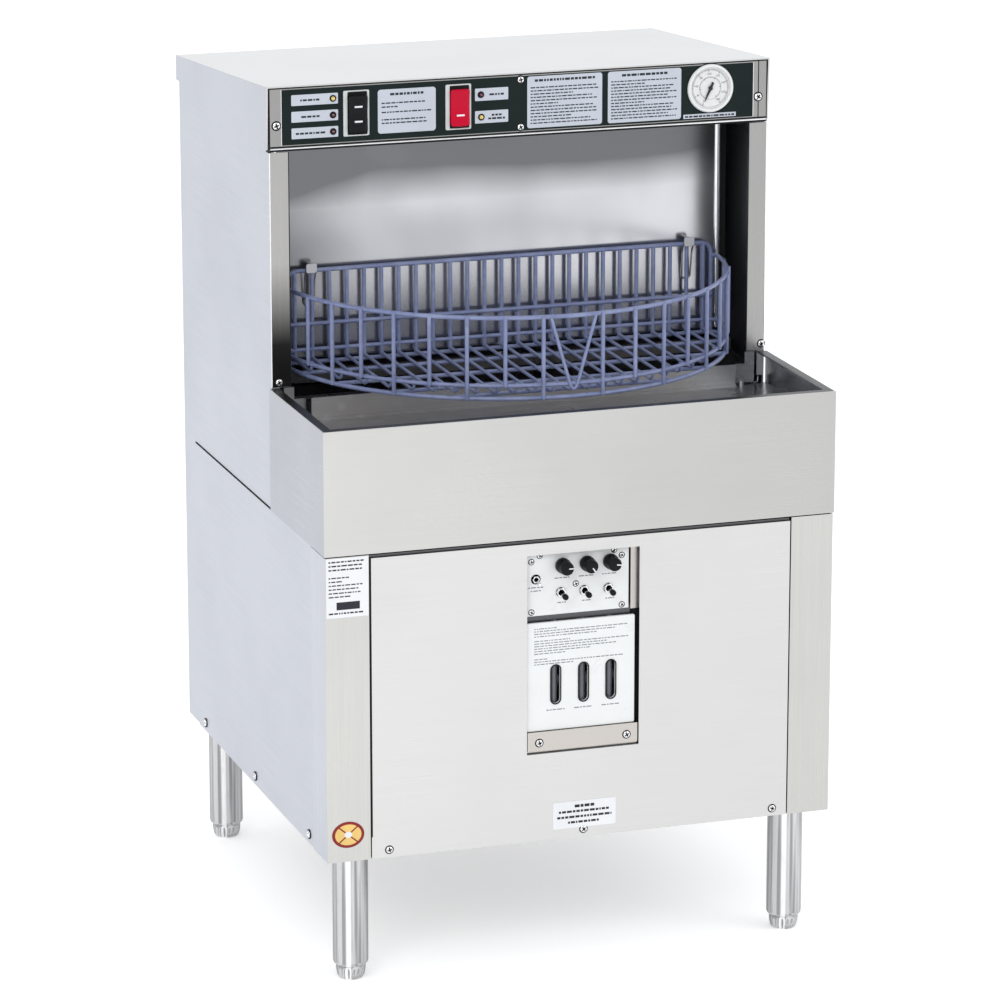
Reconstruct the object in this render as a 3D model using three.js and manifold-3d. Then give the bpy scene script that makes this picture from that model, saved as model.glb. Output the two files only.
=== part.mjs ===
// Under-counter rotary glass washer: a stainless cabinet on four adjustable legs, with a turning
// divider that carries a wire basket on each side.
// Millimetres, +Z up, -Y is the front. The origin is on the floor, at the middle of the footprint.
import * as THREE from 'three';
import { mergeVertices } from 'three/addons/utils/BufferGeometryUtils.js';
import Module from 'manifold-3d';

const wasm = await Module();
wasm.setup();

// ---- driving dimensions -------------------------------------------------------------------
const HALF = 305;                 // half of the square footprint, across and front to back
const SHEET = 2;                  // sheet metal with its folded hems
const GAP = 0.4;                  // clearance between pieces that touch

const LEG_TOP = 152;              // underside of the base
const LEG_X = 266;
const LEG_Y = 265;
const LEG_RADIUS = 20.5;
const FOOT_SHOWN = 18;            // how much of a foot stands below its leg

const LOWER_HALF_X = 304;         // lower body, slightly inside the drip box above it
const LOWER_BACK_Y = 300;
const POST_WIDTH = 51;
const POST_RETURN = 55;           // how far a front corner post wraps round the side
const CORNER_STRIP_Y = 250.5;     // front edge of the strip each cabinet side runs down the rear corner
const PANEL_TOP_Z = 505.5;        // the access panel hangs a little below the drip box
const SHELF_Z = 511;              // joint line between lower and upper body

const CABINET_HALF_X = 301.5;     // upper cabinet
const CABINET_FRONT_Y = -89;
const CABINET_REAR_Y = 300.5;     // rear edge of the cabinet sides
const BOX_TOP_Z = 654;            // top of the open drip box
const DOOR_POST_WIDTH = 22.5;
const DOOR_TOP_Z = 927;
const BAND_RETURN_Y = -76;        // how far back the cabinet side is cut away below the top cover

const TOP_FRONT_Z = 1003;         // the top cover slopes down to the rear
const TOP_REAR_Z = 975;
const SKIRT_FRONT_Z = 950;        // the skirt's lower edge, front and rear
const SKIRT_REAR_Z = 945;
const CONTROL_BOTTOM_Z = 929;
const CONTROL_BACK_Y = -40;

const DIVIDER_HALF_X = 276;       // rotor
const DIVIDER_BOTTOM_Z = 666;
const DIVIDER_TOP_Z = 920;
const DIVIDER_HALF_Y = 5;
const SEAL_REACH = 284;           // radius swept by the rotor's edge seal
const PIVOT_RADIUS = 8;

const BASKET_RADIUS = 271;        // half-round baskets, one each side of the divider
const BASKET_BACK_Y = 12;         // distance of the straight wall from the divider's middle
const BASKET_FLOOR_Z = 661.5;
const BASKET_RIM_Z = 757;
const BASKET_BACK_Z = 775;
const WIRE = 5;

const TANK_HALF_X = 288;          // tank and plumbing
const TANK_FRONT_Y = -96;
const TANK_BACK_Y = 296;
const TANK_FLOOR_Z = 515;
const TANK_RIM_Z = 640;
const BAFFLE = { halfX: 259.4, front: -106, top: 644 };
const INLET = { x: 200, z: 220, radius: 10 };
const STANDPIPE = { x: -180, y: 200, outer: 20, inner: 17 };
const PUMP = { x: 40, y: 150 };
const RISER = { x: -262, y: 262, radius: 9 };

// Dispenser: the window in the access panel, the knob plate behind it, and the dosing channels.
const WINDOW = { left: -66.5, right: 68.5, bottom: 256.5, top: 491.5 };
const KNOB_PLATE = { left: -66, right: 57.5, bottom: 418.5, top: 498, front: -297 };
const COVER = { left: -66, right: 64, bottom: 283, top: 411, front: -301, thick: 4 };
const SLOT_X = [-33.5, 0, 33];
const SLOT = { halfX: 6, bottom: 314, top: 359.5 };
const KNOB_X = [-22.7, 6.5, 34.5];
const KNOB_Z = 476;
const TOGGLE_X = [-24, 4, 33];
const TOGGLE_Z = 444;
const MODE_TOGGLE = { x: -53.9, z: 461.5 };

const ROCKER_Z = 967;             // control band
const ROCKERS = { power: -196.5, start: -75 };
const SWITCH = { halfX: 13.5, halfZ: 25 };                        // the well of each switch
const GAUGE = { x: 230, z: 971.4, radius: 28 };

// ---- materials ----------------------------------------------------------------------------
const finish = (color, roughness, metalness) =>
  new THREE.MeshStandardMaterial({ color, roughness, metalness });
const steel = finish(0xd9dadb, 0.32, 1.0);
const innerSteel = finish(0x8f8e8d, 0.4, 1.0);
const chrome = finish(0xe6e7e8, 0.12, 1.0);
const blackPlastic = finish(0x101214, 0.4, 0.0);
const redPlastic = finish(0xd90024, 0.3, 0.0);
const whitePlastic = finish(0xf0f0ee, 0.45, 0.0);
const greyPlastic = finish(0x9a9fa3, 0.35, 0.0);
const coatedWire = finish(0x7a85ad, 0.5, 0.0);
const sealRubber = finish(0x161616, 0.75, 0.0);
const motorPaint = finish(0x3c4750, 0.5, 0.3);

// ---- helpers ------------------------------------------------------------------------------
const machine = new THREE.Group();

function add(name, shape, material) {
  const mesh = new THREE.Mesh(shape instanceof wasm.Manifold ? geometryOf(shape) : shape, material);
  mesh.name = name;
  machine.add(mesh);
  return mesh;
}

// A closed mesh as a manifold solid, and back. Cuts and joins stay manifold solids until they are placed.
function solid(geometry) {
  if (geometry instanceof wasm.Manifold) return geometry;
  const bare = geometry.clone();
  bare.deleteAttribute('normal');
  bare.deleteAttribute('uv');
  const merged = mergeVertices(bare, 1e-4);
  const mesh = new wasm.Mesh({
    numProp: 3,
    vertProperties: new Float32Array(merged.attributes.position.array),
    triVerts: new Uint32Array(merged.index.array),
  });
  return new wasm.Manifold(mesh);
}

function geometryOf(manifold) {
  const mesh = manifold.getMesh();
  const geometry = new THREE.BufferGeometry();
  geometry.setAttribute('position', new THREE.BufferAttribute(mesh.vertProperties, 3));
  geometry.setIndex(new THREE.BufferAttribute(mesh.triVerts, 1));
  return geometry;
}

function join(first, ...rest) {
  return rest.reduce((whole, piece) => whole.add(solid(piece)), solid(first));
}

function cut(first, ...tools) {
  return tools.reduce((left, tool) => left.subtract(solid(tool)), solid(first));
}

// An axis-aligned block between two corners.
function block(x0, x1, y0, y1, z0, z1) {
  const geometry = new THREE.BoxGeometry(x1 - x0, y1 - y0, z1 - z0);
  return geometry.translate((x0 + x1) / 2, (y0 + y1) / 2, (z0 + z1) / 2);
}

// A straight-sided outline from a list of points.
const outline = (points) => new THREE.Shape(points.map(([u, v]) => new THREE.Vector2(u, v)));

// An outline drawn in X and Y, raised from z0 to z1.
function raised(shape, z0, z1, curveSegments = 12) {
  const options = { depth: z1 - z0, bevelEnabled: false, curveSegments };
  return new THREE.ExtrudeGeometry(shape, options).translate(0, 0, z0);
}

// An outline drawn in Y and Z, run from x0 to x1.
function acrossX(points, x0, x1) {
  const geometry = new THREE.ExtrudeGeometry(outline(points), { depth: x1 - x0, bevelEnabled: false });
  geometry.applyMatrix4(new THREE.Matrix4().set(0, 0, 1, x0, 1, 0, 0, 0, 0, 1, 0, 0, 0, 0, 0, 1));
  return geometry;
}

// An outline drawn in X and Z, run from y0 to y1.
function acrossY(shape, y0, y1, curveSegments = 12) {
  const geometry = new THREE.ExtrudeGeometry(shape, { depth: y1 - y0, bevelEnabled: false, curveSegments });
  geometry.rotateX(Math.PI / 2);
  return geometry.translate(0, y1, 0);
}

// A turned piece from [radius, height] points. Heights run along +Z, +Y or -Y from the given centre.
function turned(profile, centre, along = '+Z', sides = 20) {
  const points = profile.map(([radius, height]) => new THREE.Vector2(radius, height));
  const geometry = new THREE.LatheGeometry(points, sides);
  if (along === '+Z') geometry.rotateX(Math.PI / 2);
  if (along === '-Y') geometry.rotateX(Math.PI);
  return geometry.translate(...centre);
}

// A round bar from height h0 to h1 along the given direction.
const bar = (radius, h0, h1, centre, along = '+Z', sides = 20) =>
  turned([[0, h0], [radius, h0], [radius, h1], [0, h1]], centre, along, sides);

// A closed ring of square wire section: outer and inner radius, and two heights.
const ring = (outer, inner, h0, h1, centre, along = '+Z', sides = 20) =>
  turned([[outer, h0], [outer, h1], [inner, h1], [inner, h0], [outer, h0]], centre, along, sides);

// A round pipe that follows a smooth curve through the given points.
function pipe(points, radius, steps, sides = 12) {
  const path = new THREE.CatmullRomCurve3(points.map((p) => new THREE.Vector3(...p)), false, 'centripetal');
  const section = new THREE.Shape();
  for (let side = 0; side < sides; side += 1) {
    const angle = (side / sides) * 2 * Math.PI;
    const [u, v] = [radius * Math.cos(angle), radius * Math.sin(angle)];
    if (side === 0) section.moveTo(u, v);
    else section.lineTo(u, v);
  }
  section.closePath();
  return new THREE.ExtrudeGeometry(section, { steps, bevelEnabled: false, extrudePath: path });
}

// ---- base, legs and feet --------------------------------------------------------------------
function buildBase() {
  const depth = 20;
  const [x, front, back] = [CABINET_HALF_X - 2.7, -(HALF - 5), LOWER_BACK_Y - 3];
  const tray = cut(
    block(-x, x, front, back, LEG_TOP, LEG_TOP + depth),
    block(-x + SHEET, x - SHEET, front + SHEET, back - SHEET, LEG_TOP + SHEET, LEG_TOP + depth + 1),
    bar(STANDPIPE.outer + 1, LEG_TOP - 1, LEG_TOP + 5, [STANDPIPE.x, STANDPIPE.y, 0]),
  );
  add('base_pan', tray, innerSteel);

  const corners = { front_left: [-1, -1], front_right: [1, -1], rear_left: [-1, 1], rear_right: [1, 1] };
  const studRadius = 8;
  const boreRadius = 10;
  const boreTop = LEG_TOP - 22;
  for (const [corner, [sideX, sideY]] of Object.entries(corners)) {
    const centre = [sideX * LEG_X, sideY * LEG_Y, 0];
    const legProfile = [
      [0, boreTop], [boreRadius, boreTop], [boreRadius, FOOT_SHOWN], [LEG_RADIUS - 1.5, FOOT_SHOWN],
      [LEG_RADIUS, FOOT_SHOWN + 3], [LEG_RADIUS, LEG_TOP - 4], [LEG_RADIUS + 7, LEG_TOP - 3],
      [LEG_RADIUS + 7, LEG_TOP - GAP], [0, LEG_TOP - GAP],
    ];
    add(`leg_${corner}`, turned(legProfile, centre), chrome);
    const footProfile = [
      [0, 0], [12, 0], [15.5, 3], [17, 8], [17, FOOT_SHOWN - GAP], [studRadius, FOOT_SHOWN - GAP],
      [studRadius, 70], [0, 70],
    ];
    add(`foot_${corner}`, turned(footProfile, centre, '+Z', 16), chrome);
  }
}

// ---- lower body -----------------------------------------------------------------------------
function buildLowerBody() {
  const z0 = LEG_TOP + GAP;
  const z1 = SHELF_Z - 1.5;
  const outer = LOWER_HALF_X;
  const front = -HALF + 1;
  const postBack = front + POST_RETURN;
  for (const [name, side] of [['left', -1], ['right', 1]]) {
    const [edge, corner, face] = [side * (outer - POST_WIDTH), side * (outer - SHEET), side * outer];
    const post = outline([
      [face, front], [edge, front], [edge, front + SHEET],
      [corner, front + SHEET], [corner, postBack], [face, postBack],
    ]);
    add(`corner_post_${name}`, raised(post, z0, z1), steel);
    const sideOuter = outer - 1;
    const [near, far] = [side * (sideOuter - SHEET), side * sideOuter].sort((p, q) => p - q);
    add(`lower_side_${name}`, block(near, far, postBack + 1, CORNER_STRIP_Y - 1.5, z0, z1), steel);
  }
  const rearHalf = CABINET_HALF_X - SHEET - 0.7;
  const inletHole = bar(INLET.radius + 1, 0, 20, [INLET.x, LOWER_BACK_Y - 10, INLET.z], '+Y', 16);
  const rear = block(-rearHalf, rearHalf, LOWER_BACK_Y - SHEET, LOWER_BACK_Y, z0, z1);
  add('lower_rear_panel', cut(rear, inletHole), steel);

  const panelHalf = outer - POST_WIDTH - 1.5;
  const opening = block(WINDOW.left, WINDOW.right, front - 5, front + 10, WINDOW.bottom, WINDOW.top);
  const face = block(-panelHalf, panelHalf, front, front + SHEET, z0, PANEL_TOP_Z);
  add('access_panel', cut(face, opening), steel);
}

// ---- open drip box in front of the cabinet ----------------------------------------------------
function buildDripBox() {
  const [x, front, back] = [HALF, -HALF, CABINET_FRONT_Y - 1];
  const hem = 12;
  const shell = cut(
    block(-x, x, front, back, SHELF_Z, BOX_TOP_Z),
    block(-x + SHEET, x - SHEET, front + SHEET, back + 5, SHELF_Z - 1, BOX_TOP_Z - SHEET),
    block(-x + hem, x - hem, front + hem, back + 5, BOX_TOP_Z - SHEET - 1, BOX_TOP_Z + 1),
  );
  add('drip_box', shell, steel);

  // A shallow tray slopes back to the tank; the low baffle standing on it has a small foot in front.
  const [trayFrontZ, trayRearZ, footTop] = [634, 616, 620.6];
  const tray = acrossX([
    [front + SHEET + 0.5, trayFrontZ], [back - 0.5, trayRearZ], [back - 0.5, trayRearZ - SHEET],
    [front + SHEET + 0.5, trayFrontZ - SHEET],
  ], -(x - SHEET - 0.5), x - SHEET - 0.5);
  const { halfX, front: baffleFront, top } = BAFFLE;
  const wall = block(-halfX, halfX, baffleFront, baffleFront + SHEET, trayRearZ, top);
  const foot = block(-halfX, halfX, baffleFront - 3, baffleFront + 0.5, trayRearZ + 0.5, footTop);
  add('drip_tray', join(tray, wall, foot), innerSteel);
}

// ---- upper cabinet ----------------------------------------------------------------------------
function buildCabinet() {
  const outer = CABINET_HALF_X;
  const [sideTop, lowest] = [960, LEG_TOP + GAP];
  const postBottom = BOX_TOP_Z + 1;
  const tab = { width: 9, bottom: 625 };
  for (const [name, side] of [['left', -1], ['right', 1]]) {
    // The side sheet runs down the rear corner as a strip, and up behind the control band.
    const wall = [
      [CABINET_FRONT_Y, SHELF_Z], [CORNER_STRIP_Y, SHELF_Z], [CORNER_STRIP_Y, lowest],
      [CABINET_REAR_Y, lowest], [CABINET_REAR_Y, sideTop], [BAND_RETURN_Y, sideTop],
      [BAND_RETURN_Y, DOOR_TOP_Z], [CABINET_FRONT_Y, DOOR_TOP_Z],
    ];
    const front = (width, z0, z1) => {
      const [near, far] = [side * (outer - width), side * (outer - SHEET / 2)].sort((p, q) => p - q);
      return block(near, far, CABINET_FRONT_Y, CABINET_FRONT_Y + SHEET, z0, z1);
    };
    const [near, far] = [side * (outer - SHEET), side * outer].sort((p, q) => p - q);
    const doorPost = front(DOOR_POST_WIDTH, postBottom, DOOR_TOP_Z);
    const lowerTab = front(tab.width, tab.bottom, postBottom + 1);
    add(`cabinet_side_${name}`, join(acrossX(wall, near, far), doorPost, lowerTab), steel);
  }
  const inner = outer - SHEET - 1;
  add('cabinet_rear', block(-inner, inner, HALF - 4, HALF - 2, SHELF_Z, 968), steel);

  // Top cover: a sloping plate with a skirt down each side and the back, and a flap beside the band.
  const reach = outer + 0.5;
  const skirtOut = reach + SHEET;
  const flap = { front: CABINET_FRONT_Y + 3, rear: BAND_RETURN_Y - 1, bottom: 930.5 };
  const fallPerLength = (TOP_REAR_Z - TOP_FRONT_Z) / (HALF - CABINET_FRONT_Y);
  const slope = (y) => TOP_FRONT_Z + fallPerLength * (y - CABINET_FRONT_Y);
  const wedge = acrossX([
    [CABINET_FRONT_Y, slope(CABINET_FRONT_Y) - SHEET], [flap.front, flap.bottom], [flap.rear, flap.bottom],
    [flap.rear, SKIRT_FRONT_Z], [HALF, SKIRT_REAR_Z], [HALF, slope(HALF)],
    [CABINET_FRONT_Y, slope(CABINET_FRONT_Y)],
  ], -skirtOut, skirtOut);
  const ahead = CABINET_FRONT_Y - 20;
  const hollow = acrossX([
    [ahead, flap.bottom - 10], [HALF - 1.5, flap.bottom - 10], [HALF - 1.5, slope(HALF) - SHEET],
    [ahead, slope(ahead) - SHEET],
  ], -reach, reach);
  add('top_cover', cut(wedge, hollow), steel);
}

// ---- control band -----------------------------------------------------------------------------
// A block round a switch centre, as wide and as high as its well plus a margin.
function switchBlock(x, marginX, marginZ, y0, y1) {
  const [halfX, halfZ] = [SWITCH.halfX + marginX, SWITCH.halfZ + marginZ];
  return block(x - halfX, x + halfX, y0, y1, ROCKER_Z - halfZ, ROCKER_Z + halfZ);
}

function buildControls() {
  const x = CABINET_HALF_X - SHEET - 1;
  const plateBack = CABINET_FRONT_Y + SHEET;
  const housing = cut(
    block(-x, x, plateBack + GAP, CONTROL_BACK_Y, CONTROL_BOTTOM_Z, 996),
    block(-x + SHEET, x - SHEET, plateBack - 5, CONTROL_BACK_Y - SHEET, CONTROL_BOTTOM_Z + SHEET, 1010),
  );
  add('control_housing', housing, steel);

  const plateX = CABINET_HALF_X - 0.5;
  const plate = cut(
    block(-plateX, plateX, CABINET_FRONT_Y, plateBack, CONTROL_BOTTOM_Z, TOP_FRONT_Z - SHEET - 0.5),
    switchBlock(ROCKERS.power, 2, 2, -120, 0),
    switchBlock(ROCKERS.start, 2, 2, -120, 0),
    bar(25.6, -10, 10, [GAUGE.x, CABINET_FRONT_Y, GAUGE.z], '+Y', 32),
  );
  add('control_plate', plate, steel);

  for (const [name, centreX] of Object.entries(ROCKERS)) {
    const flange = switchBlock(centreX, 4, 2.5, CABINET_FRONT_Y - 2.5, CABINET_FRONT_Y - GAP);
    const body = switchBlock(centreX, 1.5, 1.5, CABINET_FRONT_Y - 1, -66);
    const well = switchBlock(centreX, 0, 0, CABINET_FRONT_Y - 5, -68);
    add(`${name}_bezel`, cut(join(flange, body), well), whitePlastic);

    // The cap rocks on an axis inside the well; its front face is very slightly hollow.
    const pivotY = -80;
    const cap = [
      [pivotY + 6, ROCKER_Z - 14], [pivotY + 6, ROCKER_Z + 14], [pivotY, ROCKER_Z + 22],
      [CABINET_FRONT_Y - 5, ROCKER_Z + 22.5], [CABINET_FRONT_Y - 3.5, ROCKER_Z],
      [CABINET_FRONT_Y - 5, ROCKER_Z - 22.5], [pivotY, ROCKER_Z - 22],
    ];
    const capHalf = SWITCH.halfX - 0.7;
    const capShape = acrossX(cap, centreX - capHalf, centreX + capHalf);
    add(`${name}_rocker`, capShape, name === 'power' ? blackPlastic : redPlastic);
  }

  // Temperature gauge: a cup through the plate with a rolled front rim, and a pointer over its dial.
  const dialDepth = 1;
  const cup = turned([
    [0, -29], [25, -29], [25, GAP], [GAUGE.radius, GAP], [GAUGE.radius, 3], [GAUGE.radius - 1.5, 4],
    [24, 4], [24, dialDepth], [0, dialDepth],
  ], [GAUGE.x, CABINET_FRONT_Y, GAUGE.z], '-Y', 32);
  add('gauge_case', cup, chrome);
  const restAngle = THREE.MathUtils.degToRad(245);
  const pointer = outline([
    [-2.6, -1.4], [-7.5, -1.2], [-7.5, 1.2], [-2.6, 1.4], [0, 3], [2.6, 1.4],
    [15.5, 0.5], [15.5, -0.5], [2.6, -1.4], [0, -3],
  ]);
  const needle = acrossY(pointer, -1.0, 0);
  needle.rotateY(-restAngle);
  needle.translate(GAUGE.x, CABINET_FRONT_Y - dialDepth - GAP, GAUGE.z);
  add('gauge_needle', needle, blackPlastic);
}

// ---- rotor: divider, edge seal, bearings --------------------------------------------------------
function buildRotor() {
  const [halfX, halfY] = [DIVIDER_HALF_X, DIVIDER_HALF_Y];
  const panel = join(
    block(-halfX, halfX, -halfY, halfY, DIVIDER_BOTTOM_Z, DIVIDER_TOP_Z),
    bar(PIVOT_RADIUS, 646, DIVIDER_BOTTOM_Z + 1, [0, 0, 0]),
    bar(PIVOT_RADIUS, DIVIDER_TOP_Z - 1, 936, [0, 0, 0]),
  );
  add('divider_panel', panel, steel);

  const inner = DIVIDER_HALF_X + GAP;
  const [under, lowest] = [DIVIDER_BOTTOM_Z - GAP, 658];
  const edge = outline([
    [-SEAL_REACH, lowest], [SEAL_REACH, lowest], [SEAL_REACH, DIVIDER_TOP_Z], [inner, DIVIDER_TOP_Z],
    [inner, under], [-inner, under], [-inner, DIVIDER_TOP_Z], [-SEAL_REACH, DIVIDER_TOP_Z],
  ]);
  const pinHole = bar(PIVOT_RADIUS + 1, 650, 670, [0, 0, 0], '+Z', 12);
  const pinCollar = bar(PIVOT_RADIUS + 3.4, lowest, under, [0, 0, 0], '+Z', 16);
  add('divider_seal', cut(join(acrossY(edge, -3, 3), pinCollar), pinHole), sealRubber);

  // The rail crosses the tank under the rotor; the bridge crosses the cabinet above it.
  const boreRadius = PIVOT_RADIUS + 0.3;
  const rail = cut(
    block(-TANK_HALF_X, TANK_HALF_X, -15, 15, TANK_RIM_Z + GAP, 655),
    block(-TANK_HALF_X - 1, TANK_HALF_X + 1, -13, 13, TANK_RIM_Z - 1, 652),
    bar(boreRadius, 640, 660, [0, 0, 0]),
  );
  add('lower_bearing_rail', rail, innerSteel);
  const bridgeX = CABINET_HALF_X - SHEET - 1;
  const bridge = cut(
    block(-bridgeX, bridgeX, -20, 20, 926, 938),
    block(-bridgeX - 1, bridgeX + 1, -18, 18, 929, 940),
    bar(boreRadius, 920, 940, [0, 0, 0]),
  );
  add('upper_bearing_bridge', bridge, innerSteel);
}

// ---- baskets --------------------------------------------------------------------------------
// Both are built for the front and turned half a turn about the rotor axis for the rear.
function halfDisc(radius, back) {
  const reach = Math.sqrt(radius * radius - back * back);
  const start = Math.atan2(-back, -reach);
  const end = Math.atan2(-back, reach);
  const shape = new THREE.Shape();
  shape.absarc(0, 0, radius, start, end, false);
  shape.closePath();
  return shape;
}

function basketFloor() {
  const [pitchX, pitchY, rib] = [58, 56, 4];
  const [z0, z1] = [BASKET_FLOOR_Z, BASKET_FLOOR_Z + WIRE - 1];
  const meshes = [];
  for (let column = -4; column < 4; column += 1) {
    for (let row = 0; row < 4; row += 1) {
      const [x0, x1] = [column * pitchX + rib / 2, (column + 1) * pitchX - rib / 2];
      const y1 = -BASKET_BACK_Y - 8 - row * pitchY;
      const y0 = y1 - pitchY + rib;
      const farthest = Math.hypot(Math.max(Math.abs(x0), Math.abs(x1)), y0);
      if (farthest < BASKET_RADIUS - 6) meshes.push(block(x0, x1, y0, y1, z0 - 1, z1 + 1));
    }
  }
  return cut(raised(halfDisc(BASKET_RADIUS, BASKET_BACK_Y), z0, z1, 24), ...meshes);
}

function hoop(z0, radius) {
  const whole = raised(halfDisc(radius, BASKET_BACK_Y), z0, z0 + WIRE, 16);
  return cut(whole, raised(halfDisc(radius - WIRE, BASKET_BACK_Y + WIRE), z0 - 1, z0 + WIRE + 1, 16));
}

function basketGuard() {
  const bottom = BASKET_FLOOR_Z + WIRE;
  const pieces = [hoop(bottom, BASKET_RADIUS), hoop(BASKET_RIM_Z - WIRE, BASKET_RADIUS)];
  const uprights = 14;
  for (let index = 0; index < uprights; index += 1) {
    const angle = -Math.PI * (index + 0.5) / uprights;
    const radius = BASKET_RADIUS - WIRE / 2;
    const upright = block(-2, 2, -2, 2, bottom + 1, BASKET_RIM_Z - 1);
    upright.rotateZ(angle);
    pieces.push(upright.translate(radius * Math.cos(angle), radius * Math.sin(angle), 0));
  }
  const backHalf = 264;
  const [outer, inner] = [-BASKET_BACK_Y - WIRE, -BASKET_BACK_Y];
  const bays = 9;
  const pitch = (2 * backHalf - WIRE) / bays;
  const gaps = [];
  for (let bay = 0; bay < bays; bay += 1) {
    const x0 = -backHalf + WIRE + bay * pitch;
    gaps.push(block(x0, x0 + pitch - WIRE, outer - 1, inner + 1, bottom + WIRE, BASKET_BACK_Z - WIRE));
  }
  pieces.push(cut(block(-backHalf, backHalf, outer, inner, bottom + 1, BASKET_BACK_Z), ...gaps));
  return join(...pieces);
}

function buildBaskets() {
  for (const [name, turn] of [['front', 0], ['rear', Math.PI]]) {
    add(`basket_${name}_floor`, geometryOf(basketFloor()).rotateZ(turn), coatedWire);
    add(`basket_${name}_guard`, geometryOf(basketGuard()).rotateZ(turn), coatedWire);
  }
}

// ---- wash tank, pump and spray pipes -------------------------------------------------------------
function buildWash() {
  const tank = cut(
    block(-TANK_HALF_X, TANK_HALF_X, TANK_FRONT_Y, TANK_BACK_Y, TANK_FLOOR_Z, TANK_RIM_Z),
    block(-TANK_HALF_X + SHEET, TANK_HALF_X - SHEET, TANK_FRONT_Y + SHEET, TANK_BACK_Y - SHEET,
      TANK_FLOOR_Z + SHEET, TANK_RIM_Z + 5),
    block(-TANK_HALF_X - 1, TANK_HALF_X + 1, TANK_FRONT_Y - 1, CABINET_FRONT_Y + 1, 600, TANK_RIM_Z + 5),
    bar(STANDPIPE.outer + 1, 500, 520, [STANDPIPE.x, STANDPIPE.y, 0]),
    bar(RISER.radius + 5, 500, 520, [RISER.x, RISER.y, 0], '+Z', 16),
    bar(14, 500, 520, [PUMP.x, PUMP.y, 0]),
  );
  add('wash_tank', tank, innerSteel);

  // The standpipe sets the water level, and its lower end is the drain connection below the base.
  const { x, y, outer, inner } = STANDPIPE;
  add('drain_standpipe', ring(outer, inner, LEG_TOP - 12, 610, [x, y, 0]), greyPlastic);
  add('level_float', ring(38, outer + 1.5, 575, 595, [x, y, 0]), whitePlastic);

  // Centrifugal pump: motor below, volute above it with its inlet neck up to the tank floor.
  const centre = [PUMP.x, PUMP.y, 0];
  const shaftRadius = 6;
  const motor = turned([
    [0, 300], [46, 300], [50, 306], [50, 424], [46, 430], [shaftRadius + 1, 430],
    [shaftRadius + 1, 380], [0, 380],
  ], centre);
  add('pump_motor', motor, motorPaint);
  const volute = turned([
    [shaftRadius + 1, 430 + GAP], [58, 430 + GAP], [58, 478], [18, 482], [18, TANK_FLOOR_Z - GAP],
    [14, TANK_FLOOR_Z - GAP], [14, 474], [48, 474], [48, 436], [shaftRadius + 1, 436],
    [shaftRadius + 1, 430 + GAP],
  ], centre);
  const spout = block(PUMP.x - 75, PUMP.x - 52, PUMP.y - 12, PUMP.y + 12, 442, 466);
  const port = bar(8, 40, 90, [PUMP.x, PUMP.y, 454], '+Y', 12).translate(-PUMP.x, -PUMP.y, 0);
  port.rotateZ(Math.PI / 2).translate(PUMP.x, PUMP.y, 0);
  add('pump_volute', cut(join(volute, spout), port), greyPlastic);
  const impeller = turned([
    [0, 382], [shaftRadius, 382], [shaftRadius, 444], [40, 444], [42, 450], [14, 464], [9, 468], [0, 468],
  ], centre, '+Z', 20);
  add('pump_impeller', impeller, greyPlastic);

  const spoutX = PUMP.x - 75 - 2.5;
  const riserPath = [
    [spoutX, PUMP.y, 454], [spoutX - 60, PUMP.y + 12, 452], [-170, 255, 440], [-225, 264, 445],
    [RISER.x, RISER.y, 485], [RISER.x, RISER.y, 560], [RISER.x, RISER.y, 700], [RISER.x, RISER.y, 800],
    [RISER.x, RISER.y, 906],
  ];
  add('riser_pipe', pipe(riserPath, RISER.radius, 34, 8), innerSteel);

  const [upperZ, upperY, bendY] = [948, 150, 165];
  const upperPath = [
    [RISER.x, RISER.y, 909], [RISER.x, RISER.y, 930], [RISER.x + 12, RISER.y - 10, upperZ],
    [RISER.x + 60, RISER.y - 40, upperZ], [-120, bendY, upperZ], [0, upperY, upperZ], [220, upperY, upperZ],
  ];
  const upperNozzles = [[-120, bendY], [0, upperY], [120, upperY], [200, upperY]];
  const upper = join(
    pipe(upperPath, 8, 22, 8),
    ...upperNozzles.map(([nozzleX, nozzleY]) => bar(5, 930, upperZ, [nozzleX, nozzleY, 0], '+Z', 10)),
  );
  add('upper_spray_pipe', upper, innerSteel);
  const lowerZ = 612;
  const armX = [-232, -100, 60, 200];
  const nozzle = (x, y) => bar(6, lowerZ, lowerZ + 24, [x, y, 0], '+Z', 10);
  const lower = join(
    block(-240, 240, 58, 70, lowerZ - 6, lowerZ + 6),
    ...armX.map((x) => block(x - 5, x + 5, 64, 250, lowerZ - 5, lowerZ + 5)),
    ...armX.flatMap((x) => [nozzle(x, 120), nozzle(x, 220)]),
  );
  add('lower_spray_pipe', lower, innerSteel);

  // The inlet stub passes through the lower rear panel.
  const [bodyFront, bodyBack, stubLength] = [240, 290, 29];
  const valve = join(
    block(INLET.x - 20, INLET.x + 20, bodyFront, bodyBack, INLET.z - 18, INLET.z + 18),
    bar(INLET.radius, 0, stubLength, [INLET.x, bodyBack - 2, INLET.z], '+Y', 16),
  );
  add('fill_valve', valve, whitePlastic);
}

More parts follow.
